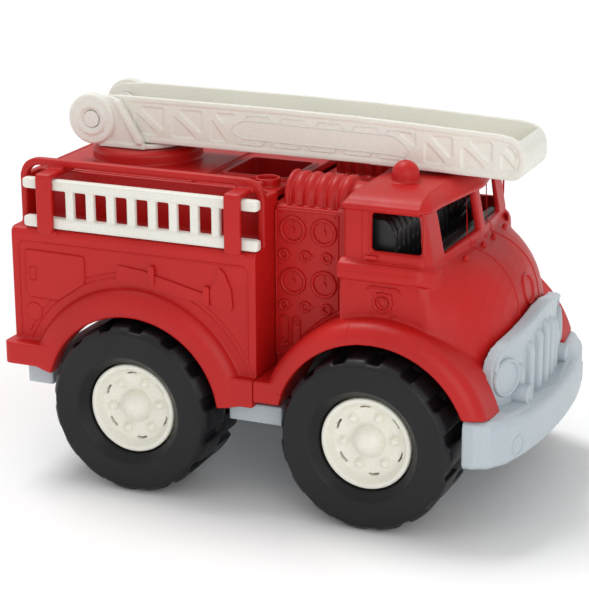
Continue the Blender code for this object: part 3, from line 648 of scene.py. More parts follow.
def build_front_body():
    base = bonnet_solid()
    steps = Steps([("+", prism(cab_plan(), "z", 120.0, 150.5)), ("+", roof_solid())])
    steps.plus(box(REAR_FRONT + 0.3, CAB_BACK + 1, -PUMP_Y, PUMP_Y, SILL_Z, PUMP_TOP))
    for side in (-1, 1):
        profile = quarter_bulge(FRONT_ARCH_R, FRONT_FLARE_R, 44.0, 69.0, FLARE_Y - 1.0, side)
        arch = revolve(profile, "y", (FRONT_ARCH_X, WHEEL_R), 72, 13, 158)
        under = [(side * 40.0, 57.1), (side * 52.0, 57.1), (side * 90.0, 62.5), (side * 90.0, 20.0),
                 (side * 40.0, 20.0)]
        clear = box(109.7, 130.0, *span(side, 40.0, 53.0), 40.0, 100.0)
        steps.plus(combine(arch, [("-", clear), ("-", prism(under, "x", 90.0, 130.0))]))
        steps.plus(box(REAR_FRONT + 0.3, 22.0, *span(side, PUMP_Y - 1, 76.0), 54.4, 65.0))
        # belt moulding along the door
        belt = [(62.0, 117.2), (64.6, 117.2), (64.6, 119.6), (63.6, 124.2), (60.0, 126.0), (58.0, 126.0)]
        belt = rounded([(side * y, z) for y, z in belt], (0, 0.6, 1, 1, 0.5, 0))
        rings = []
        places = ((CAB_BACK - 1.4, 0.0, 0.0), (76.0, 0.0, 0.0), (79.0, 0.4, 0.2), (82.0, 2.0, 0.8),
                  (85.0, 5.2, 1.8), (87.0, 9.0, 2.8))
        for x, tuck, drop in places:
            rings.append([(x, y - side * tuck, z - drop) for y, z in belt])
        steps.plus(loft(rings))
    steps.cut(box(REAR_FRONT + 3.0, CAB_BACK - 3.0, -PUMP_Y + WALL, PUMP_Y - WALL, 40.0,
                  PUMP_TOP - WALL))
    steps.cut(box(CAB_BACK + WALL, 80.0, -CAB_Y + WALL, CAB_Y - WALL, 40.0, 119.0))
    steps.cut(box(79.0, 88.0, -50.0, 50.0, 40.0, 108.0))
    cavity = [(CAB_BACK + WALL, -CAB_Y + WALL), (79.0, -CAB_Y + WALL), (81.2, -CAB_Y + 6.0), (82.2, -40.0)]
    cavity = cavity + [(87.6, 0.0)] + [(x, -y) for x, y in reversed(cavity)]
    steps.cut(prism(cavity, "z", 118.0, 153.2))
    window = rounded_rect(55.5, 80.0, 130.5, 148.6, 1.8, 4)
    steps.cut(prism(window, "y", -90.0, 90.0))
    for side in (-1, 1):
        pane = [(side * 3.6, 130.0), (side * 42.0, 127.0), (side * 42.0, 148.8), (side * 3.6, 148.8)]
        pane = rounded(pane, 2.0, 4)
        steps.cut(prism(pane, "x", 80.0, 130.0))
        steps.cut(cylinder("y", (FRONT_ARCH_X, WHEEL_R + 0.6), FRONT_ARCH_R,
                           *span(side, 39.0, 90.0), 96))
    steps.cut(box(86.0, 107.0, -34.0, 34.0, 40.0, 100.0))
    for side in (-1, 1):
        beacon = [(0, 153.0), (8.3, 153.0), (8.3, 155.6), (7.8, 156.4), (6.9, 157.0), (BEACON_R, 157.8)]
        beacon += circle(0.0, 160.8, BEACON_R, 9, 0, 90)
        steps.rest(revolve(beacon, "z", (BEACON_X, side * BEACON_Y), 48))
        reel = rounded([(0, 5.5), (12.4, 5.5), (12.4, 7.9), (0, 7.9)], (0, 0.8, 0.8, 0))
        steps.rest(revolve(reel, "x", (side * REEL_Y, REEL_Z), 64))
        steps.rest(cylinder("x", (side * REEL_Y, REEL_Z), 9.6, 7.0, CAB_BACK + 1.0, 48))
        for k in range(5):
            steps.rest(torus("x", (side * REEL_Y, REEL_Z), 9.3, 2.95, 11.4 + 5.9 * k, 48, 14))
    steps.plus(box(77.0, 82.0, -12.0, 12.0, 155.6, 158.6))
    mould(combine(base, steps), 0.62, 3)
    rake_windscreen(base)
    return finish_piece(base, "front_body_shell", BODY, RED, ["front_body"])


def build_pump_reliefs():
    parts = []
    for side in (-1, 1):
        plane, base = side_plane(side), side * PUMP_Y
        border = [(2.6, 70.0), (8.6, 70.0), (17.0, 82.0), (25.0, 89.4), (34.6, 95.6),
                  (34.6, 142.4), (2.6, 142.4)]
        parts.append(ridge(rounded(border, 1.6, 4), plane, base, 0.8, 0.5))
        for x in (11.4, 27.2):
            for z in (133.0, 107.6):
                parts.append(torus("y", (x, z), 5.9, 0.85, base + side * 0.4, 48, 10))
                parts.append(cylinder("y", (x, z), 1.1, *sorted((base, base + side * 0.9)), 16))
                needle = [(x - 0.35, z), (x + 0.35, z), (x + 0.5, z + 4.0), (x, z + 4.4), (x - 0.5, z + 4.0)]
                parts.append(raised(needle, plane, base, 0.45))
        for x in (6.7, 17.8, 28.7):
            for z in (120.6, 95.5):
                parts.append(torus("y", (x, z), 2.1, 0.75, base + side * 0.5, 28, 8))
                tail = [(x + 2.3, z - 1.4), (x + 3.9, z), (x + 2.3, z + 1.4)]
                parts.append(raised(tail, plane, base, 0.6))
        for x, knob in ((6.8, 78.0), (12.9, 87.0)):
            parts.append(ridge(rounded_rect(x - 2.2, x + 2.2, 74.4, 90.0, 2.1), plane, base, 0.8, 0.7))
            parts.append(ridge(circle(x, knob, 1.3, 16), plane, base, 0.6, 0.5))
        for x, z in ((4.8, 140.0), (32.2, 140.4), (4.8, 114.8)):
            parts.append(cylinder("y", (x, z), 0.9, *sorted((base, base + side * 0.6)), 14))
    relief = join(parts)
    finish_piece(relief, "pump_panel_relief", BODY, RED, angle=50)


def build_cab_reliefs(front_shell):
    parts = []
    shell = surface_tree(front_shell)
    for side in (-1, 1):
        # two moulded lines over the bonnet's centre panel
        rays = []
        for i in range(FAN_STEPS + 1):
            angle = math.radians(88.0 - 86.0 * i / FAN_STEPS)
            y = side * (15.0 + i / FAN_STEPS)
            start = (84.0 + 60.0 * math.cos(angle), y, 92.0 + 60.0 * math.sin(angle))
            rays.append((start, (Vector((84.0, y, 92.0)) - Vector(start)).normalized()))
        parts.append(fan_ridge(shell, rays, 0.9, 0.4))
        # door lines
        for x_top, x_low in ((50.9, 49.8), (81.6, 84.0)):
            low = [(x_low, side * 90.0, 92.0 + 1.2 * k) for k in range(21)]
            lean = RAKE if x_top > 80.0 else 0.0
            high = [(x_top - lean * max(126.6 + 1.1 * k - RAKE_Z, 0.0), side * 90.0, 126.6 + 1.1 * k)
                    for k in range(21)]
            parts.append(surface_ridge(shell, low, (0, -side, 0), 0.6, 0.3))
            parts.append(surface_ridge(shell, high, (0, -side, 0), 0.6, 0.3))
        # fold lines of the belt
        for z in (117.6, 121.4, 125.4):
            run = [(43.0 + 1.1 * k, side * 90.0, z) for k in range(34)]
            parts.append(surface_ridge(shell, run, (0, -side, 0), 0.6, 0.25))
    for side in (-1, 1):
        plane = side_plane(side)
        upper, lower = side * CAB_Y, side * CAB_LOW_Y
        window = rounded_rect(54.5, 81.0, 129.5, 149.4, 2.4, 4)
        parts.append(ridge(window, plane, upper, 0.9, 0.5))
        parts.append(raised(rounded_rect(52.6, 58.8, 126.9, 128.4, 0.7, 3), plane, upper, 1.2))
        # plain ring badge between two arcs
        cx, cz = BADGE_X, BADGE_Z
        parts.append(torus("y", (cx, cz), 4.2, 0.75, lower + side * 0.2, 36, 8))
        parts.append(torus("y", (cx, cz), 2.3, 0.5, lower + side * 0.2, 28, 8))
        for k in range(4):
            a = math.radians(45 + 90 * k)
            spoke = [(cx + 4.4 * math.cos(a - 0.22), cz + 4.4 * math.sin(a - 0.22)),
                     (cx + 5.8 * math.cos(a - 0.2), cz + 5.8 * math.sin(a - 0.2)),
                     (cx + 5.8 * math.cos(a + 0.2), cz + 5.8 * math.sin(a + 0.2)),
                     (cx + 4.4 * math.cos(a + 0.22), cz + 4.4 * math.sin(a + 0.22))]
            parts.append(raised(spoke, plane, lower, 0.5))
        top = [(cx - 8.2, cz + 5.4), (cx - 6.4, cz + 7.0), (cx + 6.4, cz + 7.0), (cx + 8.2, cz + 5.4)]
        low = [(cx - 6.4, cz - 5.2), (cx, cz - 9.0), (cx + 6.4, cz - 5.2)]
        for arc, radii in ((top, (0, 2, 2, 0)), (low, (0, 3, 0))):
            parts.append(ridge(rounded(arc, radii), plane, lower, 0.9, 0.5, closed=False))
    # wiper pivots below the windscreen
    for y in (-30.3, -8.0, 8.0, 30.3):
        parts.append(surface_pin(shell, (93.2 - abs(y) * 0.07, y, 160.0), (0, 0, -1), 1.3, 2.0))
    # raised ring on the nose
    lean = math.radians(38.0)
    axis = Vector((math.cos(lean), 0.0, math.sin(lean)))
    rise = Vector((-math.sin(lean), 0.0, math.cos(lean)))
    rays = []
    for k in range(49):
        angle = 2 * math.pi * k / 48
        start = Vector((113.2, 0.0, 102.4)) + axis * 20.0 + rise * (RING_R * math.sin(angle))
        rays.append((start + Vector((0.0, RING_R * math.cos(angle), 0.0)), -axis))
    parts.append(fan_ridge(shell, rays, 1.9, 0.9))
    relief = join(parts)
    finish_piece(relief, "cab_relief", BODY, RED, angle=50)


# ------------------------------------------------------------------ grey parts

def build_chassis():
    base = box(-124.0, 88.0, -38.0, 38.0, 36.0, 54.0)
    steps = Steps([("-", box(-121.0, 85.0, -35.0, 35.0, 39.0, 90.0))])
    steps.plus(box(-15.0, 13.0, -66.0, 66.0, 40.0, 49.7))
    steps.plus(box(-126.0, -112.0, -66.0, 66.0, 44.0, 54.0))
    for x in (REAR_X, FRONT_X):
        steps.plus(box(x - 9.0, x + 9.0, -37.0, 37.0, 37.0, 51.0))
    for x in (REAR_X, FRONT_X):
        steps.cut(cylinder("y", (x, WHEEL_R), 4.5, -60.0, 60.0, 32))
    mould(combine(base, steps), 0.9, 2, 80000)
    finish_piece(base, "chassis_pan", BODY, GREY, ["chassis"])


def bumper_plan(inset=0.0):
    front = [(112.0, -76.4), (119.0, -73.0), (124.5, -63.0), (128.4, -48.0), (131.0, -30.0), (132.1, -14.0)]
    front = [(x - inset, y + (inset if i < 2 else 0)) for i, (x, y) in enumerate(front)]
    plan = [(106.2, front[0][1])] + front + [(132.4 - inset, 0.0)]
    return plan + [(x, -y) for x, y in reversed(front)] + [(106.2, -front[0][1]), (106.2, 62.0),
                                                           (111.3, 50.0), (111.3, -50.0), (106.2, -62.0)]


def build_bumper():
    rings = []
    levels = ((36.6, 2.2), (37.2, 1.0), (38.6, 0.1), (47.0, 0.0), (53.0, 0.1), (55.2, 0.8), (56.3, 2.0),
              (56.8, 3.6))
    for z, inset in levels:
        ring = []
        for x, y in bumper_plan(inset):
            lift = max(abs(y) - 50.0, 0.0) * 0.14 * (z - 36.6) / 20.0
            ring.append((x, y, z + lift))
        rings.append(ring)
    base = loft(rings)
    half = [(52.0, GRILLE_FOOT), (52.0, 77.5), (50.4, 82.0), (46.6, 86.2), (42.0, 88.4), (36.0, 89.8),
            (28.0, 91.6), (18.0, 93.8), (11.0, 95.4), (6.0, 96.2), (2.0, 96.4)]
    outline = rounded(half + [(-y, z) for y, z in reversed(half)], 2.0, 3)
    front = [(-54.0, 111.4), (-50.0, 113.2), (-44.0, 115.4), (-38.0, 117.2), (-30.0, 118.9), (-20.0, 120.4),
             (-10.0, 121.3), (0.0, 121.6)]
    front += [(-y, x) for y, x in reversed(front[:-1])]

    sheet = [(x, y) for y, x in front] + [(x - 5.0, y) for y, x in reversed(front)]
    grille = combine(prism(sheet, "z", 50.0, 105.0), [("&", prism(outline, "x", 90.0, 140.0))])
    steps = Steps([("+", grille)])
    plate = rounded_rect(-9.0, 9.0, 38.6, 51.6, 2.0)
    steps.plus(prism(plate, "x", 128.0, 132.4))
    mould(combine(base, steps), 0.5, 2, 120000)
    for vert in base.data.vertices:
        vert.co.x = min(vert.co.x, BUMPER_FRONT * MM)
    shell = surface_tree(base)
    parts = []
    # rolled border round the grille
    rays = [((150.0, y * 0.972, GRILLE_FOOT + (z - GRILLE_FOOT) * 0.965), (-1.0, 0.0, 0.0))
            for y, z in outline]
    rays = [ray for ray in rays if ray[0][2] > 57.0]
    dense = []
    for (a, way), (b, _) in zip(rays, rays[1:]):
        count = max(int((Vector(a) - Vector(b)).length / 1.5), 1)
        dense += [(Vector(a).lerp(Vector(b), i / count), Vector(way)) for i in range(count)]
    parts.append(fan_ridge(shell, dense, 3.0, 1.6))
    for k in range(-3, 4):
        y = 10.0 * k
        x0, x1 = 116.0 - abs(k) * 0.7, 124.4 - 0.0035 * y * y
        top = (89.6, 88.0, 84.6, 77.0)[abs(k)]
        side_view = rounded([(x0, 55.0), (x1, 55.0), (x1, top - 4.0), (x1 - 4.4, top), (x0, top)],
                            (0, 0, 7.0, 2.5, 0), 8)
        parts.append(bevel(prism(side_view, "y", y - 2.7, y + 2.7), 1.9, 4, 50))
    for side in (-1, 1):
        tilt = Matrix.Rotation(math.radians(side * LAMP_TURN), 4, "Z")
        lamp = [(0, -5.0), (9.2, -5.0), (9.2, 2.0), (8.7, 2.9), (7.9, 2.9), (7.3, 1.6), (5.5, 2.0), (0, 2.4)]
        body = revolve(rounded(lamp, (0, 0, 0.5, 0.4, 0.4, 0.4, 0, 0), 3), "x", (0.0, 0.0), 56)
        body.data.transform(Matrix.Translation((LAMP_X * MM, side * LAMP_Y * MM, LAMP_Z * MM)) @ tilt)
        parts.append(body)
        small = [(0, 112.0), (4.9, 112.0), (4.9, 124.6), (4.4, 125.3), (3.7, 125.3), (3.3, 124.5), (0, 124.8)]
        small = rounded(small, (0, 0, 0.4, 0.3, 0.3, 0.3, 0), 3)
        parts.append(revolve(small, "x", (side * SIDE_LAMP_Y, SIDE_LAMP_Z), 40))
        rays = []
        for k in range(41):
            angle = 2 * math.pi * k / 40
            start = Vector((160.0, side * FOG_Y + FOG_R * math.cos(angle), FOG_Z + FOG_R * math.sin(angle)))
            rays.append((start, Vector((-1.0, 0.0, 0.0))))
        parts.append(fan_ridge(shell, rays, 1.1, 0.5))
    relief = join(parts)
    for vert in relief.data.vertices:
        vert.co.x = min(vert.co.x, BUMPER_FRONT * MM)
    finish_piece(relief, "grille_relief", BODY, GREY, angle=40)
    finish_piece(base, "bumper_and_grille", BODY, GREY, ["grille_bumper"])


# ------------------------------------------------------------------ wheels

def build_tyre(name, x, side, body):
    out = TYRE_OUT
    core = [(12.0, TYRE_IN + 2.0), (34.0, TYRE_IN + 0.3), (38.6, TYRE_IN + 2.6), (39.4, TYRE_IN + 5.0),
            (39.4, out - 4.6), (40.6, out - 3.4), (40.6, out - 1.6), (39.4, out), (28.6, out), (27.4, out),
            (23.2, out - 4.8), (22.9, out - 16.0), (12.0, out - 16.0)]
    core = rounded(core, (0, 3, 1, 1, 0.6, 0.4, 0.8, 0.8, 0.5, 0.8, 0.8, 0, 0), 4)
    ring = revolve([(r, side * y) for r, y in core], "y", (0.0, 0.0), 150)
    parts = [ring]
    mid = (TYRE_IN + out) / 2
    for k in range(2 * LUGS):
        angle = math.radians(180.0 * k / LUGS)
        near = k % 2 == 0
        wide = math.radians(360.0 / LUGS * 0.31)
        y0, y1 = (mid - 2.5, out - 1.0) if near else (TYRE_IN + 1.0, mid + 2.5)
        sections = []
        cuts = ((y0, 40.6 if near else 40.4, 0.9), (y0 + 1.6, WHEEL_R - 0.25, 1.0), (y0 + 4.0, WHEEL_R, 1.0),
                (y1 - 4.0, WHEEL_R, 1.0), (y1 - 1.6, WHEEL_R - 0.6, 1.0), (y1, 40.4, 0.92))
        for y, top, taper in cuts:
            points = [(36.0, -wide * 1.12)]
            for share in (-1.0, -0.5, 0.0, 0.5, 1.0):
                points.append((top, wide * taper * share))
            points.append((36.0, wide * 1.12))
            sections.append([(r * math.cos(angle + a), side * y, r * math.sin(angle + a)) for r, a in points])
        parts.append(loft(sections))
    tyre = join(parts)
    mould(tyre, 0.7, 2, 110000)
    tyre.data.transform(Matrix.Translation((x * MM, 0.0, WHEEL_R * MM)))
    return finish_piece(tyre, name + "_moulded", body, TYRE, [name])


def build_hub(name, x, side, body):
    dome = [(8.0 * a, 71.4 + 6.4 * b) for a, b in circle(0.0, 0.0, 1.0, 9, 0, 90)]
    profile = rounded([(0, 66.0), (22.3, 66.0), (22.3, 77.3), (20.2, 77.3), (17.6, 72.8), (15.6, 71.5),
                       (10.0, 70.8)] + dome, [0, 0, 1.0, 0.8, 1.5, 1.5, 0.6] + [0] * len(dome), 5)
    base = revolve([(r, side * y) for r, y in profile], "y", (0.0, 0.0), 96)
    steps = Steps()
    for k in range(6):
        a = math.radians(60 * k + 8)
        nut = rounded([(0, 69.4), (2.4, 69.4), (2.2, 72.6), (1.2, 74.2), (0, 74.7)], (0, 0, 0.6, 0.5, 0), 4)
        steps.rest(revolve([(r, side * y) for r, y in nut], "y",
                           (BOLT_CIRCLE * math.cos(a), BOLT_CIRCLE * math.sin(a)), 20))
        b = math.radians(60 * k + 38)
        slit = []
        for rr, da in ((16.2, -0.17), (17.1, -0.17), (17.4, 0.0), (17.1, 0.17), (16.2, 0.17), (16.4, 0.0)):
            slit.append((rr * math.cos(b + da), rr * math.sin(b + da)))
        steps.cut(prism(slit, "y", *span(side, 60.0, 80.0)))
    mould(combine(base, steps), 0.36, 2, 60000)
    base.data.transform(Matrix.Translation((x * MM, 0.0, WHEEL_R * MM)))
    return finish_piece(base, name + "_moulded", body, HUB_IVORY, [name])


# ------------------------------------------------------------------ aerial ladder

def build_turntable():
    disc = revolve(rounded([(0, TABLE_Z0), (TABLE_R, TABLE_Z0), (TABLE_R, TABLE_Z1), (0, TABLE_Z1)],
                           (0, 0.5, 0.8, 0)), "z", (TABLE_X, 0.0), 96)
    steps = Steps([("+", box(-106.0, -80.5, -EAR_OUT, EAR_OUT, TABLE_Z0 + 0.1, TABLE_Z1 - 0.1))])
    steps.plus(cylinder("z", (TABLE_X, 0.0), 7.0, 141.0, TABLE_Z0 + 1, 48))
    steps.cut(cylinder("z", (TABLE_X, 0.0), 3.0, 130.0, 153.0, 32))
    web = [(-82.0, TABLE_Z0 + 0.4), (-82.0, 161.4), (-94.5, 181.4), (-98.0, 182.6)]
    web += circle(PIVOT_X, PIVOT_Z, BOSS_R, 40, 70, 250)
    web += [(-105.0, TABLE_Z0 + 0.4)]
    for side in (-1, 1):
        steps.plus(prism(web, "y", *span(side, EAR_IN, EAR_OUT - 0.6)))
        boss = [(0, EAR_IN), (BOSS_R, EAR_IN), (BOSS_R, 22.2), (BOSS_R - 0.9, 22.9), (BOSS_R - 4.6, 22.5),
                (BOSS_R - 4.9, BOSS_OUT), (BOSS_R - 6.7, BOSS_OUT), (PIN_R + 0.9, 22.3), (0, 22.3)]
        boss = rounded(boss, (0, 0, 0.8, 0.6, 0.4, 0.4, 0.4, 0.4, 0), 4)
        steps.plus(revolve([(r, side * y) for r, y in boss], "y", (PIVOT_X, PIVOT_Z), 80))
        # rib along the ear's front edge
        rib = [(-94.2, 182.0), (-96.6, 180.4), (-85.0, 160.0), (-81.8, 160.0), (-81.8, 161.6)]
        steps.plus(prism(rib, "y", *span(side, EAR_IN, EAR_OUT + 1.2)))
        for k in range(4):
            a = math.radians(45 + 90 * k)
            centre = (PIVOT_X + 9.6 * math.cos(a), PIVOT_Z + 9.6 * math.sin(a))
            steps.cut(cylinder("y", centre, 0.9, *span(side, 22.3, 30.0), 14))
    steps.cut(cylinder("y", (PIVOT_X, PIVOT_Z), PIN_R + 0.3, -30.0, 30.0, 48))
    mould(combine(disc, steps), 0.42, 3, 110000)
    finish_piece(disc, "turntable_moulded", "turntable_body", IVORY, ["turntable"])


def boom_outline():
    bottom, top, tip = BOOM_Z0, BOOM_Z1, BOOM_TIP
    eye = circle(PIVOT_X, PIVOT_Z, 11.2, 24, 90, 250)
    low = [(-103.0, bottom), (30.0, bottom), (tip - 7.0, BOOM_DROP), (tip - 4.4, BOOM_DROP + 0.5),
           (tip - 2.2, BOOM_DROP + 1.8), (tip - 0.6, BOOM_DROP + 4.0), (tip, BOOM_DROP + 6.4)]
    nose = [(tip, 168.0), (tip - 0.3, 171.4), (tip - 1.4, 174.4), (tip - 3.6, 177.2), (tip - 7.0, 179.0),
            (102.0, 180.0)]
    return [(-96.0, top)] + eye + low + nose + [(60.0, 181.8), (30.0, 182.8), (-10.0, 183.3)]


def boom_low(x):
    """Height of the boom's lower edge at x."""
    return BOOM_Z0 + (BOOM_DROP - BOOM_Z0) * max(x - 30.0, 0.0) / (BOOM_TIP - 37.0)


def boom_top(x):
    """Height of the boom's rim at x."""
    knots = ((-96.0, BOOM_Z1), (-10.0, 183.3), (30.0, 182.8), (60.0, 181.8), (102.0, 180.0), (115.0, 168.0))
    for (xa, za), (xb, zb) in zip(knots, knots[1:]):
        if x <= xb:
            return za + (zb - za) * (x - xa) / (xb - xa)
    return knots[-1][1]


def build_boom():
    base = prism(boom_outline(), "y", -BOOM_Y, BOOM_Y)
    inner = BOOM_Y - 2.2
    trough = rounded([(-95.0, BOOM_Z0 + 2.2), (BOOM_TIP - 4.0, BOOM_Z0 + 2.2), (BOOM_TIP - 2.4, 168.0),
                      (109.0, 190.0), (-95.0, 190.0)], (0, 2, 0, 0, 0))
    steps = Steps([("-", prism(trough, "y", -inner, inner))])
    steps.cut(box(-130.0, -94.0, -inner, inner, 150.0, 190.0))
    steps.plus(box(-97.0, -94.0, -inner - 0.5, inner + 0.5, BOOM_Z0, BOOM_Z0 + 12.0))
    for k in range(9):
        x0 = -76.0 + 20.0 * k
        steps.plus(box(x0, x0 + 4.0, -inner - 0.5, inner + 0.5, BOOM_Z0 + 1.0, BOOM_Z0 + 4.6))
    steps.cut(cylinder("y", (PIVOT_X, PIVOT_Z), PIN_R + 0.3, -30.0, 30.0, 48))
    for side in (-1, 1):
        # shallow outside panel leaves a raised border
        outline = [(x, boom_low(x) + 2.2) for x in (-92.0, 30.0, 106.5)]
        outline += [(111.4, 163.4), (112.4, 168.0), (111.2, 173.4), (106.6, 176.8), (100.0, 177.7)]
        outline += [(60.0, 179.4), (30.0, 180.4), (-10.0, 180.9), (-92.0, 181.0)]
        outline = rounded(outline, 1.5, 3)
        steps.cut(prism(outline, "y", *span(side, BOOM_Y - 0.5, 30.0)))
        for pocket in truss_pockets():
            steps.cut(prism(pocket, "y", *span(side, BOOM_Y - 1.15, 30.0)))
    mould(combine(base, steps), 0.45, 1, 190000)
    finish_piece(base, "aerial_ladder_trough", "aerial_ladder_body", IVORY, ["aerial_ladder"])


def truss_pockets():
    """Rounded triangles between the falling diagonals of the boom's lattice."""
    pockets = []
    for x0, x1 in ((-88.0, -71.4), (-67.0, -50.4), (65.4, 79.2), (83.6, 98.6)):
        low, high = boom_low(x1) + 4.0, boom_top(x0) - 4.8
        slant = 2.4
        pockets.append(rounded([(x0, low), (x1 - slant, low), (x0, high - slant)], 1.4, 4))
        pockets.append(rounded([(x1, high), (x0 + slant, high), (x1, low + slant)], 1.4, 4))
    low = boom_low(102.0) + 4.0
    pockets.append(rounded([(103.0, low), (108.4, low + 0.6), (110.2, 164.0), (103.0, 171.6)], 1.2, 4))
    pockets.append(rounded([(104.6, 173.6), (110.6, 167.6), (109.6, 172.0), (106.4, 175.0)], 0.8, 4))
    # the two bays cut short by the blank plate
    low, high = boom_low(-40.0) + 4.0, boom_top(-46.0) - 4.8
    pockets.append(rounded([(-46.0, low), (-37.0, low), (-40.5, low + 4.6), (-46.0, high - 2.4)], 1.2, 4))
    pockets.append(rounded([(-43.6, high), (-30.4, high), (-36.6, high - 3.2), (-38.6, high - 5.4)], 1.0, 4))
    high = boom_top(56.0) - 4.8
    pockets.append(rounded([(61.0, high), (52.0, high), (58.2, high - 5.2), (61.0, high - 6.8)], 1.0, 4))
    return pockets


def build_boom_reliefs():
    """Outline of the blank plate and short lattice marks on the boom's outer faces."""
    parts = []
    for side in (-1, 1):
        plane, base = side_plane(side), side * (BOOM_Y - 0.5)
        for x0 in (-26.0, -7.5, 11.5, 30.0, 47.0):
            top = boom_top(x0) - 4.6
            mark = [(x0 - 1.2, top - 2.4), (x0 + 0.6, top), (x0 + 11.6, top), (x0 + 13.4, top - 2.4)]
            parts.append(ridge(rounded(mark, (0, 1, 1, 0), 4), plane, base, 0.8, 0.45, closed=False))
            low = boom_low(x0) + 3.8
            mark = [(x0 - 4.6, low + 2.4), (x0 - 4.4, low), (x0 + 8.0, low), (x0 + 9.6, low + 2.4)]
            parts.append(ridge(rounded(mark, (0, 1, 1, 0), 4), plane, base, 0.8, 0.45, closed=False))
        plate = [(-29.0, 167.0), (50.0, 166.0), (56.0, 165.2), (58.6, 168.6), (54.0, 172.6), (50.0, 175.0),
                 (-27.0, 176.0), (-33.0, 173.4), (-34.6, 170.2)]
        parts.append(ridge(rounded(plate, 2.0, 4), plane, base, 0.9, 0.4))
    relief = join(parts)
    finish_piece(relief, "aerial_ladder_relief", "aerial_ladder_body", IVORY, angle=60)


def build_side_ladder(name, side, body):
    y0, y1 = RAIL_IN, RAIL_OUT
    parts = []
    for z0, z1 in ((126.35, 132.0), (145.6, 151.0)):
        middle = (z0 + z1) / 2
        outline = rounded([(side * y0, z0), (side * y1, z0), (side * y1, z1), (side * y0, z1)], 1.2, 4)
        rings = []
        ends = ((-122.4, 0.72), (-121.8, 0.88), (-120.6, 1.0), (1.2, 1.0), (2.4, 0.88), (2.95, 0.72))
        for x, shrink in ends:
            rings.append([(x, side * 67.9 + (y - side * 67.9) * shrink, middle + (z - middle) * shrink)
                          for y, z in outline])
        parts.append(loft(rings))
    first, last = -97.0, -19.0
    for k in range(RUNGS):
        x = first + (last - first) * k / (RUNGS - 1)
        outline = rounded_rect(x - 2.2, x + 2.2, y0 + 0.7, y1 - 0.7, 0.8, 3)
        outline = [(a, side * b) for a, b in outline]
        parts.append(prism(outline, "z", 129.0, 149.0))
    base = join(parts)
    mould(base, 0.42, 2, 70000)
    finish_piece(base, name + "_moulded", body, IVORY, [name])
    bands = []
    for z in (129.2, 148.3):
        bands.append(ridge(rounded_rect(-101.0, -17.0, z - 1.7, z + 1.7, 0.4, 2), side_plane(side),
                           side * 70.15, 0.35, 0.05))
    relief = join(bands)
    finish_piece(relief, name + "_band", body, IVORY, angle=50)


# ------------------------------------------------------------------ interior

def build_interior():
    floor = box(45.0, 87.5, -56.0, 56.0, 104.0, 107.0)
    steps = Steps()
    for side in (-1, 1):
        seat = [(45.5, 106.0), (76.0, 106.0), (76.0, 116.0), (66.5, 118.0), (64.6, 138.0), (61.0, 144.4),
                (45.5, 144.4)]
        seat = rounded(seat, (0, 0, 2, 3, 3, 5, 0))
        steps.plus(prism(seat, "y", *span(side, 6.0, 54.0)))
        for k in range(SEAT_RIBS):
            y = 11.0 + 6.4 * k
            groove = [(58.0, 150.0), (58.0, 143.2), (60.8, 142.6), (63.6, 137.6), (65.4, 119.4),
                      (72.0, 120.0), (72.0, 150.0)]
            steps.cut(prism(groove, "y", *span(side, y - 0.7, y + 0.7)))
    dash = rounded([(75.0, 106.0), (84.2, 106.0), (84.2, 125.0), (82.0, 127.4), (77.5, 127.4), (75.0, 124.0)],
                   (0, 0, 2, 2, 2, 2))
    steps.plus(prism(dash, "y", -49.0, 49.0))
    mould(combine(floor, steps), 0.6, 2, 60000)
    finish_piece(floor, "cab_interior_moulded", BODY, BLACK, ["cab_interior"])


# ------------------------------------------------------------------ all pieces

build_rear_body()
build_rear_reliefs()
build_deck()
front_shell = build_front_body()
build_pump_reliefs()
build_cab_reliefs(front_shell)
build_chassis()
build_bumper()
build_interior()
for place_name, wheel_x in (("rear", REAR_X), ("front", FRONT_X)):
    for label, side_sign in (("right", -1), ("left", 1)):
        wheel_body = place_name + "_wheels"
        build_tyre(f"{place_name}_{label}_tyre", wheel_x, side_sign, wheel_body)
        build_hub(f"{place_name}_{label}_hubcap", wheel_x, side_sign, wheel_body)
build_turntable()
build_boom()
build_boom_reliefs()
build_side_ladder("side_ladder_right", -1, "right_ladder_body")
build_side_ladder("side_ladder_left", 1, "left_ladder_body")

CARRIED = {"steering_wheel": BLACK, "front_axle": BLACK, "rear_axle": BLACK, "turntable_retainer": IVORY,
           "pivot_pin_left": IVORY, "pivot_pin_right": IVORY}
for node_name, mat in CARRIED.items():
    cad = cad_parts[node_name]
    for cad_slot in cad.material_slots:
        cad_slot.material = mat


# ------------------------------------------------------------------ floor, light, camera

def build_stage():
    size = 4.0
    bm = bmesh.new()
    square = ((-size, -size), (size, -size), (size, size), (-size, size))
    bm.faces.new([bm.verts.new((x, y, 0.0)) for x, y in square])
    floor = new_object("floor", bm, 1.0)
    mat = bpy.data.materials.new("floor_paper")
    mat.use_nodes = True
    shader = mat.node_tree.nodes["Principled BSDF"]
    shader.inputs["Base Color"].default_value = (0.93, 0.93, 0.93, 1.0)
    shader.inputs["Roughness"].default_value = 0.85
    shader.inputs["Specular IOR Level"].default_value = 0.1
    floor.data.materials.append(mat)


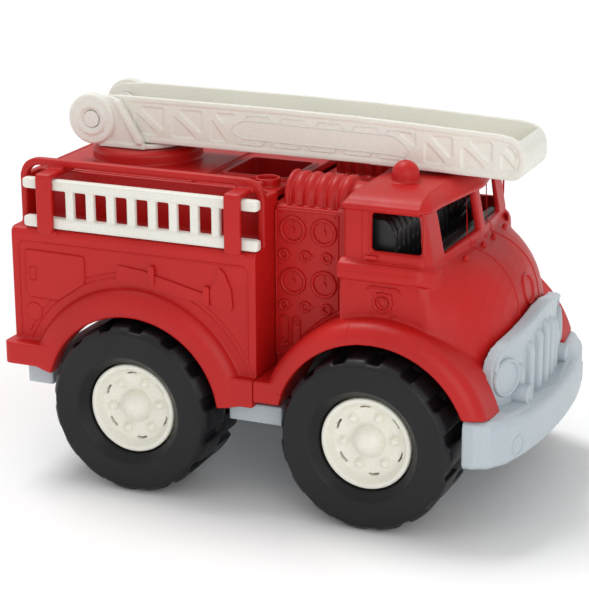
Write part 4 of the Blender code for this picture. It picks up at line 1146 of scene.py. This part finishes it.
LENS = 119.203396
LIGHT_TARGET = Vector((0.0, 0.0, 0.08))


def area_light(name, place_at, size, power):
    data = bpy.data.lights.new(name, "AREA")
    data.shape = "DISK"
    data.size = size
    data.energy = power
    obj = bpy.data.objects.new(name, data)
    obj.location = place_at
    obj.rotation_euler = (LIGHT_TARGET - Vector(place_at)).to_track_quat("-Z", "Y").to_euler()
    bpy.context.scene.collection.objects.link(obj)


def build_lights():
    sun = bpy.data.lights.new("key", "SUN")
    sun.energy = 1.45
    sun.angle = math.radians(24.0)
    lamp = bpy.data.objects.new("key", sun)
    lamp.rotation_euler = Vector((0.42, -0.22, -1.0)).to_track_quat("-Z", "Y").to_euler()
    bpy.context.scene.collection.objects.link(lamp)
    area_light("front_fill", (0.9, -1.1, 0.6), 1.0, 5.0)
    area_light("side_fill", (-1.0, -1.0, 0.5), 0.8, 0.5)
    world = bpy.data.worlds.new("studio")
    world.use_nodes = True
    background = world.node_tree.nodes["Background"]
    background.inputs["Color"].default_value = (1.0, 1.0, 1.0, 1.0)
    background.inputs["Strength"].default_value = 0.68
    bpy.context.scene.world = world


def build_camera():
    """Camera in front of the right side, slightly above."""
    azimuth, elevation, roll = (math.radians(a) for a in (23.33, 17.38, -0.26))
    distance, target = 0.98407, Vector((-0.00869, 0.0, 0.08459))
    back = Vector((math.sin(azimuth) * math.cos(elevation), -math.cos(azimuth) * math.cos(elevation),
                   math.sin(elevation)))
    right = Vector((math.cos(azimuth), math.sin(azimuth), 0.0))
    up = back.cross(right)
    r = right * math.cos(roll) + up * math.sin(roll)
    u = -right * math.sin(roll) + up * math.cos(roll)
    data = bpy.data.cameras.new("camera")
    data.sensor_width = 36.0
    data.lens = LENS
    obj = bpy.data.objects.new("camera", data)
    obj.matrix_world = Matrix((r, u, back)).transposed().to_4x4()
    obj.location = target + back * distance
    bpy.context.scene.collection.objects.link(obj)
    bpy.context.scene.camera = obj


build_stage()
build_lights()
build_camera()
bpy.context.scene.view_settings.view_transform = "Standard"
